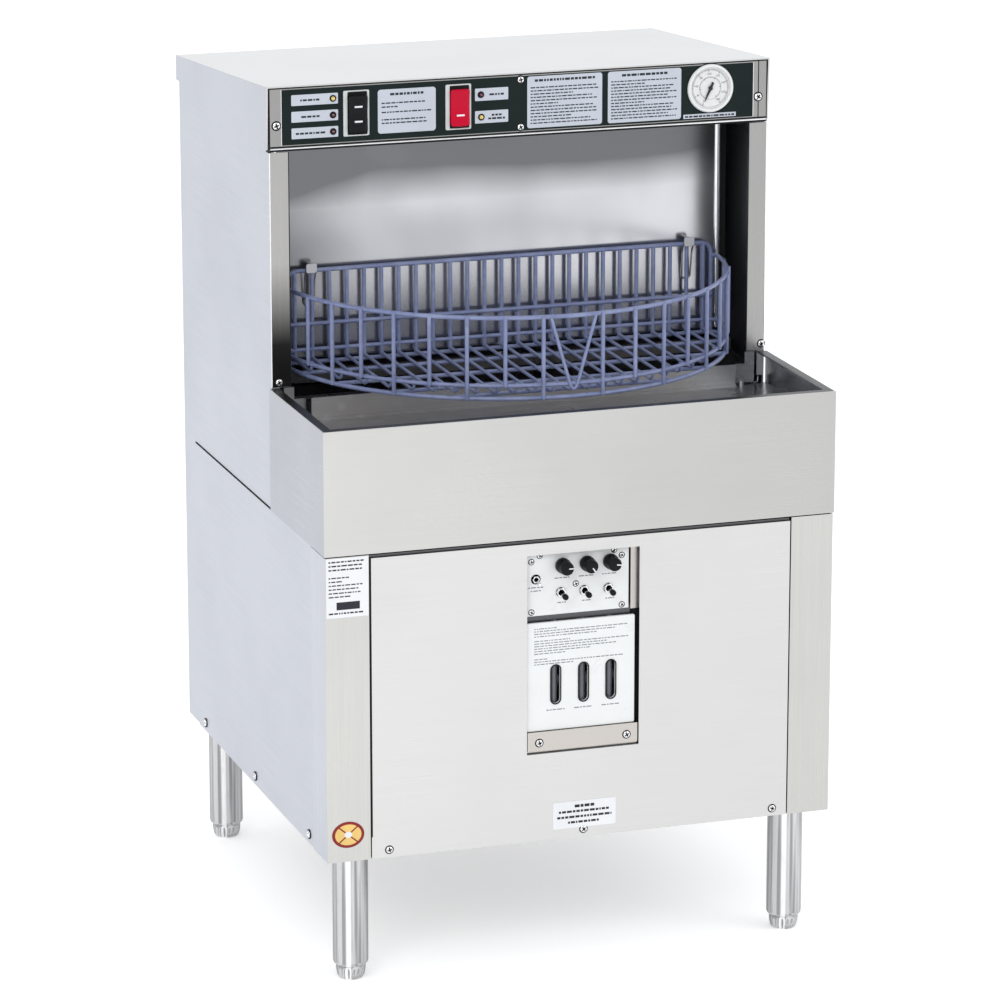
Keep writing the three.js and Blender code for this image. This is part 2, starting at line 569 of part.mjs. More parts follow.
// ---- chemical dispenser behind the front window ----------------------------------------------------
function buildDispenser() {
  const housing = { halfX: 74, bottom: 250, top: 502, front: -301, back: -215 };
  const { halfX, bottom, top, front, back } = housing;
  const shell = cut(
    block(-halfX, halfX, front, back, bottom, top),
    block(-halfX + SHEET, halfX - SHEET, front - 5, back - SHEET, bottom + SHEET, top - SHEET),
  );
  // The bracket fills the foot of the window; a web behind it stands on the housing floor.
  const bracket = { left: WINDOW.left + 1, right: WINDOW.right - 1.5, bottom: 260, top: 282.5 };
  const { left: bracketLeft, right: bracketRight, bottom: footZ, top: headZ } = bracket;
  const bracketFace = block(bracketLeft, bracketRight, front - 2.5, front + 0.5, footZ, headZ);
  const web = block(bracketLeft, bracketRight, front, front + SHEET, bottom + 1, headZ);
  const flange = block(60, halfX - 1, KNOB_PLATE.front, KNOB_PLATE.front + SHEET, 417, 490);
  add('dispenser_box', join(shell, bracketFace, web, flange), steel);

  const plateY = KNOB_PLATE.front;
  const plateHoles = [
    ...KNOB_X.map((x) => bar(4, -5, 10, [x, plateY, KNOB_Z], '+Y', 12)),
    ...TOGGLE_X.map((x) => bar(6, -5, 10, [x, plateY, TOGGLE_Z], '+Y', 12)),
    bar(6, -5, 10, [MODE_TOGGLE.x, plateY, MODE_TOGGLE.z], '+Y', 12),
  ];
  const { left, right, bottom: plateBottom, top: plateTop } = KNOB_PLATE;
  const plate = block(left, right, plateY, plateY + SHEET, plateBottom, plateTop);
  add('dispenser_plate', cut(plate, ...plateHoles), steel);

  const coverBack = COVER.front + COVER.thick;
  const slots = SLOT_X.map((x) =>
    block(x - SLOT.halfX, x + SLOT.halfX, COVER.front - 5, coverBack + 5, SLOT.bottom, SLOT.top));
  const cover = block(COVER.left, COVER.right, COVER.front, coverBack, COVER.bottom, COVER.top);
  add('tube_cover', cut(cover, ...slots), whitePlastic);

  KNOB_X.forEach((x, index) => {
    const knob = turned([
      [0, -12], [3, -12], [3, 2], [8.5, 2], [8.5, 9], [8.2, 18], [7.4, 20], [0, 20],
    ], [x, plateY, KNOB_Z], '-Y', 16);
    add(`dose_knob_${index + 1}`, knob, blackPlastic);
  });
  const bat = [[0, -5], [2.8, -5], [2, 0], [2.4, 7], [3.3, 18], [2.2, 20], [0, 20]];
  const toggleAt = (x, z, scale, droop) => {
    const lever = turned(bat.map(([r, h]) => [r * scale, h * scale]), [0, 0, 0], '-Y', 10);
    return lever.rotateX(THREE.MathUtils.degToRad(droop)).translate(x, plateY + 1, z);
  };
  TOGGLE_X.forEach((x, index) => add(`prime_toggle_${index + 1}`, toggleAt(x, TOGGLE_Z, 1, 5), chrome));
  add('mode_toggle', toggleAt(MODE_TOGGLE.x, MODE_TOGGLE.z, 0.75, 11), chrome);

  // Three-lobed squeeze rollers on short shafts, one for each dosing tube.
  const roller = { front: -285, depth: 14, z: 337, mean: 11.5, lobe: 3, steps: 24 };
  SLOT_X.forEach((x, index) => {
    const rim = [];
    for (let step = 0; step < roller.steps; step += 1) {
      const angle = (step / roller.steps) * 2 * Math.PI;
      const radius = roller.mean + roller.lobe * Math.cos(3 * angle);
      rim.push([radius * Math.cos(angle), radius * Math.sin(angle)]);
    }
    const head = acrossY(outline(rim), 0, roller.depth).translate(x, roller.front, roller.z);
    const shaftFront = roller.front + roller.depth - 1;
    const shaft = bar(3, 0, back - SHEET - 2 - shaftFront, [x, shaftFront, roller.z], '+Y', 10);
    add(`dosing_roller_${index + 1}`, join(head, shaft), greyPlastic);
  });
}

buildBase();
buildLowerBody();
buildDripBox();
buildCabinet();
buildControls();
buildRotor();
buildBaskets();
buildWash();
buildDispenser();

export default machine;
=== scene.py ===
"""Looks for the rotary glass washer: materials, wire baskets and small fittings round the CAD frame.

Metres, +Z up, -Y is the front. Places come from the CAD boxes of the nodes that a detail sits on.
"""
import math
import random

import bpy
from mathutils import Matrix, Vector


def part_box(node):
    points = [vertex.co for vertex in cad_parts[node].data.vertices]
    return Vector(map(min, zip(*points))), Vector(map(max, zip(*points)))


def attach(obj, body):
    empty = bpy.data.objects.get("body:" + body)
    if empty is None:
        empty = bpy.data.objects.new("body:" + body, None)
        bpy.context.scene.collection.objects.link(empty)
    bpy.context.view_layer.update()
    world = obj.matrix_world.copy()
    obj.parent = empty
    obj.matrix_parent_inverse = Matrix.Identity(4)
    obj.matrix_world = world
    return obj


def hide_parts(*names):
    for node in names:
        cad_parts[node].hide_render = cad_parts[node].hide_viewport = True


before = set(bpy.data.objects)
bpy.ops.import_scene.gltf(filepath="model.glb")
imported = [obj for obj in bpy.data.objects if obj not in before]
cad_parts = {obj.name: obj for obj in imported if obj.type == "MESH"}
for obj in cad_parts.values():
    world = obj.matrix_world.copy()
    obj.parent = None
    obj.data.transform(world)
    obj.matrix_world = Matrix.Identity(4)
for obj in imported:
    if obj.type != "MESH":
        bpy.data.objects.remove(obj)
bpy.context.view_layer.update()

MM = 0.001
TURN = 2 * math.pi

# ---- Places: local axes are u to the right, v up and w towards a person who looks at that side. ----
FRONT = Matrix(((1, 0, 0), (0, 0, -1), (0, 1, 0))).to_4x4()
BACK = Matrix(((-1, 0, 0), (0, 0, 1), (0, 1, 0))).to_4x4()
LEFT = Matrix(((0, 0, -1), (-1, 0, 0), (0, 1, 0))).to_4x4()
RIGHT = Matrix(((0, 0, 1), (1, 0, 0), (0, 1, 0))).to_4x4()


def at(side, x, y, z):
    """Matrix that sets a piece drawn in u, v, w on a side of the machine."""
    return Matrix.Translation((x, y, z)) @ side


# ---- Mesh helpers ----
def make(name, verts, faces, material, body="root", slot=None, smooth=True, sharp_deg=35, place=None):
    """A mesh object from lists of points and faces, riding a body."""
    mesh = bpy.data.meshes.new(name)
    mesh.from_pydata([tuple(v) for v in verts], [], faces)
    mesh.validate()
    if place is not None:
        mesh.transform(place)
    return finish_object(name, mesh, material, body, smooth, sharp_deg)


def finish_object(name, mesh, material, body, smooth=True, sharp_deg=35):
    obj = bpy.data.objects.new(name, mesh)
    bpy.context.scene.collection.objects.link(obj)
    mesh.materials.clear()
    mesh.materials.append(material)
    if smooth:
        mesh.shade_smooth()
        mesh.set_sharp_from_angle(angle=math.radians(sharp_deg))
    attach(obj, body)
    return obj


def bevel(obj, width, segments=2, angle_deg=30):
    """Rounds the edges of a piece with a modifier, so its mesh is unchanged."""
    modifier = obj.modifiers.new("edges", "BEVEL")
    modifier.width = width
    modifier.segments = segments
    modifier.limit_method = "ANGLE"
    modifier.angle_limit = math.radians(angle_deg)
    modifier.harden_normals = False
    return obj


class Shape:
    """Collects points and faces of several closed forms, to make them one mesh."""

    def __init__(self):
        self.verts = []
        self.faces = []

    def take(self, verts, faces, place=None):
        base = len(self.verts)
        self.verts += [place @ Vector(v) if place is not None else Vector(v) for v in verts]
        self.faces += [[base + index for index in face] for face in faces]
        return self

    def make(self, name, material, **options):
        return make(name, self.verts, self.faces, material, **options)


def rounded(points, radius, steps=5):
    """A polyline with its inner corners rounded."""
    points = [Vector(p) for p in points]
    path = [points[0]]
    for before, corner, after in zip(points, points[1:], points[2:]):
        a, b = (before - corner), (after - corner)
        angle = a.angle(b)
        if angle > math.radians(175):
            path.append(corner)
            continue
        reach = min(radius / math.tan(angle / 2), 0.49 * a.length, 0.49 * b.length)
        start, end = corner + a.normalized() * reach, corner + b.normalized() * reach
        for step in range(steps + 1):
            t = step / steps
            path.append(start * (1 - t) ** 2 + corner * (2 * t * (1 - t)) + end * t ** 2)
    path.append(points[-1])
    return path


def rod(points, radius, sides=10, closed=False, flare=1.0):
    """A round bar along a path. A flare above 1 thickens its ends, as a weld under a coating does."""
    points = [Vector(p) for p in points]
    count = len(points)
    tangents = []
    for i in range(count):
        before = points[i - 1] if (closed or i > 0) else points[i]
        after = points[(i + 1) % count] if (closed or i < count - 1) else points[i]
        tangents.append((after - before).normalized())
    side = tangents[0].orthogonal().normalized()
    verts, faces = [], []
    for i, (point, tangent) in enumerate(zip(points, tangents)):
        side = (side - tangent * side.dot(tangent)).normalized()
        other = tangent.cross(side)
        thick = radius * (flare if not closed and i in (0, count - 1) else 1.0)
        for k in range(sides):
            angle = TURN * k / sides
            verts.append(point + (side * math.cos(angle) + other * math.sin(angle)) * thick)
    loops = count if closed else count - 1
    for i in range(loops):
        a, b = i * sides, ((i + 1) % count) * sides
        for k in range(sides):
            n = (k + 1) % sides
            faces.append([a + k, a + n, b + n, b + k])
    if not closed:
        faces.append(list(range(sides - 1, -1, -1)))
        faces.append([(count - 1) * sides + k for k in range(sides)])
    return verts, faces


def turned(profile, segments=48):
    """A form turned about w: its (radius, w) points start and end on the axis, or close on themselves."""
    closed = profile[0] == profile[-1]
    points = profile[:-1] if closed else profile
    verts, rings = [], []
    for radius, w in points:
        if radius < 1e-7:
            rings.append([len(verts)] * segments)
            verts.append((0, 0, w))
        else:
            rings.append(list(range(len(verts), len(verts) + segments)))
            verts += [(radius * math.cos(TURN * k / segments), radius * math.sin(TURN * k / segments), w)
                      for k in range(segments)]
    pairs = list(zip(rings, rings[1:]))
    if closed:
        pairs.append((rings[-1], rings[0]))
    faces = []
    for low, high in pairs:
        for k in range(segments):
            n = (k + 1) % segments
            face = list(dict.fromkeys([low[k], low[n], high[n], high[k]]))
            if len(face) > 2:
                faces.append(face)
    return verts, faces


def rounded_rect(u, v, width, height, radius, steps=6):
    """Corner points of a rectangle with round corners, centred on u, v, anticlockwise."""
    points = []
    radius = min(radius, width / 2 - 1e-6, height / 2 - 1e-6)
    for quarter, (su, sv) in enumerate(((1, 1), (-1, 1), (-1, -1), (1, -1))):
        cu, cv = u + su * (width / 2 - radius), v + sv * (height / 2 - radius)
        for step in range(steps + 1):
            angle = (quarter + step / steps) * TURN / 4
            points.append((cu + radius * math.cos(angle), cv + radius * math.sin(angle)))
    return points


def circle(u, v, radius, segments=40):
    return [(u + radius * math.cos(TURN * k / segments), v + radius * math.sin(TURN * k / segments))
            for k in range(segments)]


def ellipse(u, v, width, height, segments=48):
    return [(u + width / 2 * math.cos(TURN * k / segments), v + height / 2 * math.sin(TURN * k / segments))
            for k in range(segments)]


def sheet_mesh(outline, holes, depth, edge):
    """A flat plate with holes and softly rounded edges: its back is at w 0 and its face at w depth."""
    curve = bpy.data.curves.new("outline", "CURVE")
    curve.dimensions = "2D"
    curve.fill_mode = "BOTH"
    curve.extrude = max(depth / 2 - edge, 1e-6)
    curve.bevel_depth = edge
    curve.bevel_resolution = 1
    curve.offset = -edge
    for loop in [outline, *holes]:
        spline = curve.splines.new("POLY")
        spline.points.add(len(loop) - 1)
        for point, (u, v) in zip(spline.points, loop):
            point.co = (u, v, 0, 1)
        spline.use_cyclic_u = True
    helper = bpy.data.objects.new("outline", curve)
    bpy.context.scene.collection.objects.link(helper)
    bpy.context.view_layer.update()
    mesh = bpy.data.meshes.new_from_object(helper)
    bpy.data.objects.remove(helper)
    bpy.data.curves.remove(curve)
    mesh.transform(Matrix.Translation((0, 0, depth / 2)))
    return mesh


def plate(name, outline, holes, depth, edge, place, material, body="root", smooth=True):
    mesh = sheet_mesh(outline, holes, depth, edge)
    mesh.transform(place)
    return finish_object(name, mesh, material, body, smooth)


def block(lo, hi):
    """Points and faces of a box between two corners."""
    (x0, y0, z0), (x1, y1, z1) = lo, hi
    verts = [(x, y, z) for z in (z0, z1) for y in (y0, y1) for x in (x0, x1)]
    faces = [[0, 2, 3, 1], [4, 5, 7, 6], [0, 1, 5, 4], [2, 6, 7, 3], [0, 4, 6, 2], [1, 3, 7, 5]]
    return verts, faces


def boxes(name, corners, material, **options):
    """One mesh of several boxes, each given by two corners."""
    shape = Shape()
    for lo, hi in corners:
        shape.take(*block(lo, hi))
    return shape.make(name, material, smooth=False, **options)


def pan_screw(radius=4.2 * MM, height=2.2 * MM):
    """A domed screw head with a pressed cross: a polar grid of points, lowered inside the cross."""
    rings, spokes = 9, 48
    arm, reach, depth = 0.16 * radius, 0.62 * radius, 0.55 * height
    verts, faces = [(0, 0, height - depth)], []
    for ring in range(1, rings + 1):
        r = radius * ring / rings
        for k in range(spokes):
            angle = TURN * k / spokes
            u, v = r * math.cos(angle), r * math.sin(angle)
            w = height * math.sqrt(max(0.0, 1 - (r / (radius * 1.04)) ** 2)) if ring < rings else 0
            inside = (abs(u) < arm and abs(v) < reach) or (abs(v) < arm and abs(u) < reach)
            verts.append((u, v, w - depth * inside))
    for k in range(spokes):
        faces.append([0, 1 + k, 1 + (k + 1) % spokes])
    for ring in range(rings - 1):
        a, b = 1 + ring * spokes, 1 + (ring + 1) * spokes
        for k in range(spokes):
            n = (k + 1) % spokes
            faces.append([a + k, b + k, b + n, a + n])
    outer = 1 + (rings - 1) * spokes
    faces.append([outer + k for k in range(spokes - 1, -1, -1)])
    return verts, faces


# ---- Materials ----
ACROSS = (7, 7, 1100)      # grain that runs level on every upright sheet
UPRIGHT = (1100, 1100, 7)  # grain that runs up
LEVEL = (7, 1100, 1100)    # grain across the top cover
BLACK = (0.0, 0.0, 0.0)


class Nodes:
    """Short forms for building a node tree round one Principled shader."""

    def __init__(self, name):
        self.material = bpy.data.materials.new(name)
        self.material.use_nodes = True
        self.tree = self.material.node_tree
        self.shader = self.tree.nodes["Principled BSDF"]
        coordinates = self.tree.nodes.new("ShaderNodeTexCoord")
        self.place, self.normal = coordinates.outputs["Object"], coordinates.outputs["Normal"]

    def add(self, kind, **values):
        node = self.tree.nodes.new(kind)
        for key, value in values.items():
            setattr(node, key, value)
        return node

    def link(self, source, target):
        self.tree.links.new(source, target)

    def noise(self, stretch, detail=4.0, roughness=0.55, offset=(0, 0, 0)):
        """Noise whose scale may differ along x, y and z, in cycles per metre."""
        mapping = self.add("ShaderNodeMapping")
        mapping.inputs["Scale"].default_value = stretch
        mapping.inputs["Location"].default_value = offset
        self.link(self.place, mapping.inputs["Vector"])
        noise = self.add("ShaderNodeTexNoise")
        noise.inputs["Scale"].default_value = 1.0
        noise.inputs["Detail"].default_value = detail
        noise.inputs["Roughness"].default_value = roughness
        self.link(mapping.outputs["Vector"], noise.inputs["Vector"])
        return noise.outputs["Fac"]

    def remap(self, value, from_low, from_high, to_low, to_high):
        node = self.add("ShaderNodeMapRange")
        for key, number in zip(("From Min", "From Max", "To Min", "To Max"),
                               (from_low, from_high, to_low, to_high)):
            node.inputs[key].default_value = number
        self.link(value, node.inputs["Value"])
        return node.outputs["Result"]

    def split(self, vector):
        """The x, y and z outputs of a vector."""
        node = self.add("ShaderNodeSeparateXYZ")
        self.link(vector, node.inputs[0])
        return node.outputs

    def mix(self, factor, first, second, blend="MIX"):
        """Colour mix: first and second are colours or sockets."""
        node = self.add("ShaderNodeMix", data_type="RGBA", blend_type=blend)
        self.link(factor, node.inputs["Factor"])
        for key, value in (("A", first), ("B", second)):
            socket = [s for s in node.inputs if s.name == key and s.type == "RGBA"][0]
            if isinstance(value, tuple):
                socket.default_value = (*value, 1)
            else:
                self.link(value, socket)
        return [s for s in node.outputs if s.type == "RGBA"][0]

    def combine(self, operation, first, second):
        node = self.add("ShaderNodeMath", operation=operation)
        for socket, value in zip(node.inputs, (first, second)):
            if isinstance(value, (int, float)):
                socket.default_value = value
            else:
                self.link(value, socket)
        return node.outputs[0]

    def colour(self, value):
        if isinstance(value, tuple):
            self.shader.inputs["Base Color"].default_value = (*value, 1)
        else:
            self.link(value, self.shader.inputs["Base Color"])

    def bump(self, height, distance, strength=1.0):
        node = self.add("ShaderNodeBump")
        node.inputs["Distance"].default_value = distance
        node.inputs["Strength"].default_value = strength
        self.link(height, node.inputs["Height"])
        self.link(node.outputs["Normal"], self.shader.inputs["Normal"])

    def set(self, **values):
        for key, value in values.items():
            self.shader.inputs[key.replace("_", " ")].default_value = value


def brushed(name, colour, roughness, grain, shade=0.06, smudge=0.06, bump=0.00001):
    """Brushed steel: fine grain along one direction, faint cloudy smudges and sparse hairline scratches."""
    n = Nodes(name)
    n.set(Metallic=1.0)
    fine = n.noise(grain, detail=3)
    cloud = n.noise((5, 5, 5), detail=3, offset=(3, 1, 7))
    scratch_stretch = tuple(value * 0.35 for value in grain)
    scratch = n.remap(n.noise(scratch_stretch, detail=1, offset=(11, 5, 2)), 0.69, 0.73, 0, 1)
    dark = tuple(c * (1 - shade) for c in colour)
    light = tuple(min(1.0, c * (1 + shade)) for c in colour)
    grained = n.mix(n.remap(fine, 0.3, 0.7, 0, 1), dark, light)
    smudged = n.mix(n.remap(cloud, 0.45, 0.8, 0, smudge * 3), grained, tuple(c * 0.86 for c in colour))
    n.colour(n.mix(n.combine("MULTIPLY", scratch, 0.35), smudged, light))
    rough = n.remap(fine, 0.3, 0.7, roughness - 0.05, roughness + 0.07)
    rough = n.combine("ADD", rough, n.remap(cloud, 0.35, 0.75, -smudge / 2, smudge))
    n.link(rough, n.shader.inputs["Roughness"])
    n.bump(n.combine("ADD", fine, n.combine("MULTIPLY", scratch, 0.6)), bump)
    return n.material


def cabinet_sheet(name, front, side, roughness, grain=ACROSS, right_shade=0.0, fall=(0.0, 1.0, 0.0), shade=0.03,
                  top_light=None):
    """Finely brushed outer sheet: warm in front, with painted cooler light on the faces turned to the sides
    and painted light on the faces turned up (top_light).

    right_shade paints shade that darkens the front towards the right; fall paints shade by height: how much
    it darkens, and from which height to which.
    """
    n = Nodes(name)
    n.set(Metallic=1.0)
    place = n.split(n.place)
    # Painted light: faces turned to the sides take the cooler side tone.
    sideways = n.remap(n.combine("ABSOLUTE", n.split(n.normal)[0], 0.0), 0.3, 0.8, 0, 1)
    # Painted shade: the front darkens towards the right, then by height as fall gives.
    tone = n.mix(n.remap(place[0], -0.3, 0.3, 0, right_shade), front, BLACK)
    fall_share, fall_from, fall_to = fall
    tone = n.mix(n.remap(place[2], fall_from, fall_to, 0, fall_share), tone, BLACK)
    tone = n.mix(sideways, tone, side)
    # Painted light: faces turned up take the lighter top tone.
    if top_light:
        tone = n.mix(n.remap(n.split(n.normal)[2], 0.3, 0.8, 0, 1), tone, top_light)
    fine = n.noise(grain, detail=3)
    cloud = n.noise((6, 6, 6), detail=3, offset=(3, 1, 7))
    tone = n.mix(n.remap(fine, 0.3, 0.7, 0, 1), tone, (1 - shade,) * 3, "MULTIPLY")
    tone = n.mix(n.remap(cloud, 0.45, 0.8, 0, 0.12), tone, (0.8, 0.8, 0.82), "MULTIPLY")
    n.colour(tone)
    rough = n.combine("ADD", n.remap(fine, 0.3, 0.7, roughness - 0.03, roughness + 0.03),
                      n.remap(cloud, 0.35, 0.75, -0.02, 0.04))
    n.link(rough, n.shader.inputs["Roughness"])
    n.bump(fine, 0.000003)
    return n.material


def mirror_sheet(name, dark, light, roughness):
    """Smooth panel steel with painted reflections in soft pale patches, darker near its left edge, and
    painted shade under its top.
    """
    n = Nodes(name)
    n.set(Metallic=1.0)
    place = n.split(n.place)
    # Painted reflection: darker near the left edge, lighter near the right, with random patches; painted
    # shade: darker under the top.
    left = n.remap(place[0], -0.265, -0.16, 0.25, 0.9)
    right = n.remap(place[0], 0.18, 0.26, 0, 0.2)
    cloud = n.remap(n.noise((5, 5, 7), detail=2, offset=(4, 2, 6)), 0.35, 0.65, -0.12, 0.12)
    head = n.remap(place[2], 0.885, 0.842, -1.0, 0)
    pale = n.combine("ADD", n.combine("ADD", n.combine("ADD", left, right), cloud), head)
    fine = n.noise(UPRIGHT, detail=3)
    tone = n.mix(n.remap(pale, 0.0, 1.0, 0, 1), dark, light)
    n.colour(n.mix(n.remap(fine, 0.3, 0.7, 0, 1), tone, (0.97,) * 3, "MULTIPLY"))
    n.link(n.remap(cloud, -0.12, 0.12, roughness + 0.04, roughness - 0.03), n.shader.inputs["Roughness"])
    n.bump(fine, 0.000003)
    return n.material


def wet_steel(name, colour, roughness):
    """Steel inside the machine: duller, with water marks and darker blooms in patches."""
    n = Nodes(name)
    n.set(Metallic=1.0)
    fine = n.noise((9, 9, 500), detail=2)
    marks = n.add("ShaderNodeTexVoronoi", feature="SMOOTH_F1")
    marks.inputs["Scale"].default_value = 46
    n.link(n.place, marks.inputs["Vector"])
    drops = n.remap(marks.outputs["Distance"], 0.12, 0.3, 1, 0)
    patch = n.remap(n.noise((9, 9, 9), detail=4), 0.42, 0.68, 0, 1)
    base = n.mix(n.remap(fine, 0.3, 0.7, 0, 1), tuple(c * 0.92 for c in colour),
                 tuple(c * 1.08 for c in colour))
    bloom = n.mix(n.combine("MULTIPLY", patch, 0.5), base,
                  tuple(c * f for c, f in zip(colour, (0.8, 0.74, 0.68))))
    n.colour(n.mix(n.combine("MULTIPLY", n.combine("MULTIPLY", drops, patch), 0.4), bloom,
                   tuple(c * 1.3 for c in colour)))
    n.link(n.remap(patch, 0, 1, roughness - 0.05, roughness + 0.14), n.shader.inputs["Roughness"])
    n.bump(fine, 0.00001)
    return n.material


def moulded(name, colour, roughness, mottle=0.08, grain=900, bump=0.00002, coat=0.0, specular=0.5):
    """Moulded plastic or film: faint mottling, a fine pebble and uneven gloss."""
    n = Nodes(name)
    n.set(Coat_Weight=coat, Coat_Roughness=0.08, Specular_IOR_Level=specular)
    pebble = n.noise((grain,) * 3, detail=2)
    cloud = n.noise((28, 28, 28), detail=3, offset=(2, 9, 4))
    dark = tuple(c * (1 - mottle) for c in colour)
    light = tuple(min(1.0, c * (1 + mottle)) for c in colour)
    n.colour(n.mix(n.remap(cloud, 0.3, 0.7, 0, 1), dark, light))
    n.link(n.remap(cloud, 0.3, 0.7, roughness - 0.04, roughness + 0.08), n.shader.inputs["Roughness"])
    n.bump(pebble, bump)
    return n.material


def polished(name, colour, roughness, streak=(240, 240, 60)):
    """Polished or plated steel with light scuffs and a few dull spots."""
    n = Nodes(name)
    n.set(Metallic=1.0)
    scuff = n.noise(streak, detail=4)
    spots = n.remap(n.noise((160, 160, 160), detail=2, offset=(5, 5, 5)), 0.64, 0.72, 0, 1)
    toned = n.mix(n.remap(scuff, 0.35, 0.7, 0, 0.3), colour, tuple(c * 0.7 for c in colour))
    n.colour(n.mix(n.combine("MULTIPLY", spots, 0.2), toned, tuple(c * 0.6 for c in colour)))
    rough = n.combine("ADD", n.remap(scuff, 0.3, 0.7, roughness - 0.03, roughness + 0.05),
                      n.combine("MULTIPLY", spots, 0.08))
    n.link(rough, n.shader.inputs["Roughness"])
    n.bump(scuff, 0.000004)
    return n.material


def leg_tube_steel(name, dark, light, roughness):
    """Polished tube with painted reflections: pale and dark upright streaks that change round the tube, a
    painted highlight line, and thin dark lines of painted shade on two sides; the scuffs are wear.
    """
    n = Nodes(name)
    n.set(Metallic=1.0)
    facing = n.split(n.normal)
    across = n.combine("ADD", n.combine("MULTIPLY", facing[0], 0.948),
                       n.combine("MULTIPLY", facing[1], -0.319))
    # Painted reflection: dark lines along the two sides that face one fixed direction.
    edge = n.remap(n.combine("ABSOLUTE", across, 0.0), 0.80, 0.97, 0, 0.75)
    # Painted reflection: pale and dark upright streaks that follow the direction the surface faces.
    streak = n.add("ShaderNodeTexNoise")
    streak.inputs["Scale"].default_value = 3.4
    streak.inputs["Detail"].default_value = 2.0
    n.link(n.normal, streak.inputs["Vector"])
    tone = n.mix(n.remap(streak.outputs["Fac"], 0.42, 0.58, 0, 1), dark, light)
    # Painted highlight: a bright line down the tube.
    shine = n.remap(n.combine("ABSOLUTE", n.combine("ADD", across, 0.08), 0.0), 0.10, 0.16, 1, 0)
    tone = n.mix(n.combine("MULTIPLY", shine, 0.85), tone, (0.9, 0.9, 0.9))
    scuff = n.noise((300, 300, 40), detail=3)
    tone = n.mix(n.remap(scuff, 0.5, 0.75, 0, 0.2), tone, dark)
    n.colour(n.mix(edge, tone, (0.10, 0.10, 0.10)))
    n.link(n.remap(scuff, 0.3, 0.7, roughness - 0.03, roughness + 0.06), n.shader.inputs["Roughness"])
    n.bump(scuff, 0.000004)
    return n.material


def dipped_wire(name, colour):
    """Vinyl dip coating: a soft gloss, slow ripples in its thickness and a chalky bloom in places."""
    n = Nodes(name)
    ripple = n.noise((120, 120, 120), detail=2)
    bloom = n.remap(n.noise((34, 34, 34), detail=4, offset=(1, 8, 3)), 0.45, 0.75, 0, 1)
    tone = n.mix(n.remap(ripple, 0.3, 0.7, 0, 1), tuple(c * 0.86 for c in colour),
                 tuple(c * 1.12 for c in colour))
    n.colour(n.mix(n.combine("MULTIPLY", bloom, 0.35), tone, (0.34, 0.38, 0.52)))
    n.link(n.remap(bloom, 0, 1, 0.3, 0.5), n.shader.inputs["Roughness"])
    n.bump(ripple, 0.00015, 0.6)
    return n.material


def clear_window(name, colour, roughness, cover):
    """A thin clear window: mostly see-through, with a faint gloss."""
    n = Nodes(name)
    n.set(Roughness=roughness, IOR=1.49, Alpha=cover)
    n.colour(n.mix(n.remap(n.noise((60, 60, 60)), 0.4, 0.6, 0, 1), colour, tuple(c * 0.97 for c in colour)))
    return n.material


def glowing_lens(name, colour, roughness=0.18):
    """A small coloured lamp lens with moulded facets."""
    n = Nodes(name)
    n.set(Coat_Weight=0.6, Coat_Roughness=0.05)
    facets = n.add("ShaderNodeTexVoronoi")
    facets.inputs["Scale"].default_value = 900
    n.link(n.place, facets.inputs["Vector"])
    n.colour(n.mix(n.remap(facets.outputs["Distance"], 0, 0.8, 0, 1),
                   tuple(min(1, c * 1.4) for c in colour), tuple(c * 0.6 for c in colour)))
    n.set(Roughness=roughness)
    n.bump(facets.outputs["Distance"], 0.0002)
    return n.material


# The cabinet steels are lit and shaded copies of one stainless steel, each toned to the light its part
# gets: SIDE_TONE is painted cooler light on side faces, CHEEK_TONE painted shade on the sides of the drip
# box.
SIDE_TONE = (0.475, 0.492, 0.54)
CHEEK_TONE = (0.38, 0.395, 0.43)
apron_steel = cabinet_sheet("apron_steel", (0.55, 0.545, 0.53), CHEEK_TONE, 0.30, right_shade=0.20)
front_steel = cabinet_sheet("front_steel", (0.612, 0.61, 0.60), SIDE_TONE, 0.32, right_shade=0.08)
side_steel = cabinet_sheet("side_steel", (0.50, 0.50, 0.49), SIDE_TONE, 0.34)
post_steel = cabinet_sheet("post_steel", (0.55, 0.545, 0.525), SIDE_TONE, 0.30, UPRIGHT, right_shade=0.08,
                           shade=0.05)
# The door posts are shaded copies; the left one also darkens towards its bottom as painted shade.
POST_TONE = (0.386, 0.38, 0.368)
left_door_steel = cabinet_sheet("left_door_steel", POST_TONE, SIDE_TONE, 0.28, UPRIGHT,
                                fall=(0.93, 0.80, 0.705))
right_door_steel = cabinet_sheet("right_door_steel", (0.34, 0.335, 0.33), SIDE_TONE, 0.28, UPRIGHT)
band_steel = cabinet_sheet("band_steel", (0.31, 0.305, 0.30), SIDE_TONE, 0.30, UPRIGHT)
bracket_steel = cabinet_sheet("bracket_steel", (0.51, 0.48, 0.45), SIDE_TONE, 0.32)
# Top cover: painted light on the faces turned up.
top_steel = cabinet_sheet("top_steel", (0.56, 0.56, 0.56), SIDE_TONE, 0.34, LEVEL, top_light=(0.86, 0.86, 0.86))
divider_steel = mirror_sheet("divider_steel", (0.15, 0.15, 0.16), (0.56, 0.56, 0.585), 0.22)
tank_steel = wet_steel("tank_steel", (0.33, 0.33, 0.34), 0.3)
# Tray steel is a lighter copy of the tank steel: painted light on the tray deep inside the machine.
tray_steel = wet_steel("tray_steel", (0.46, 0.46, 0.47), 0.3)
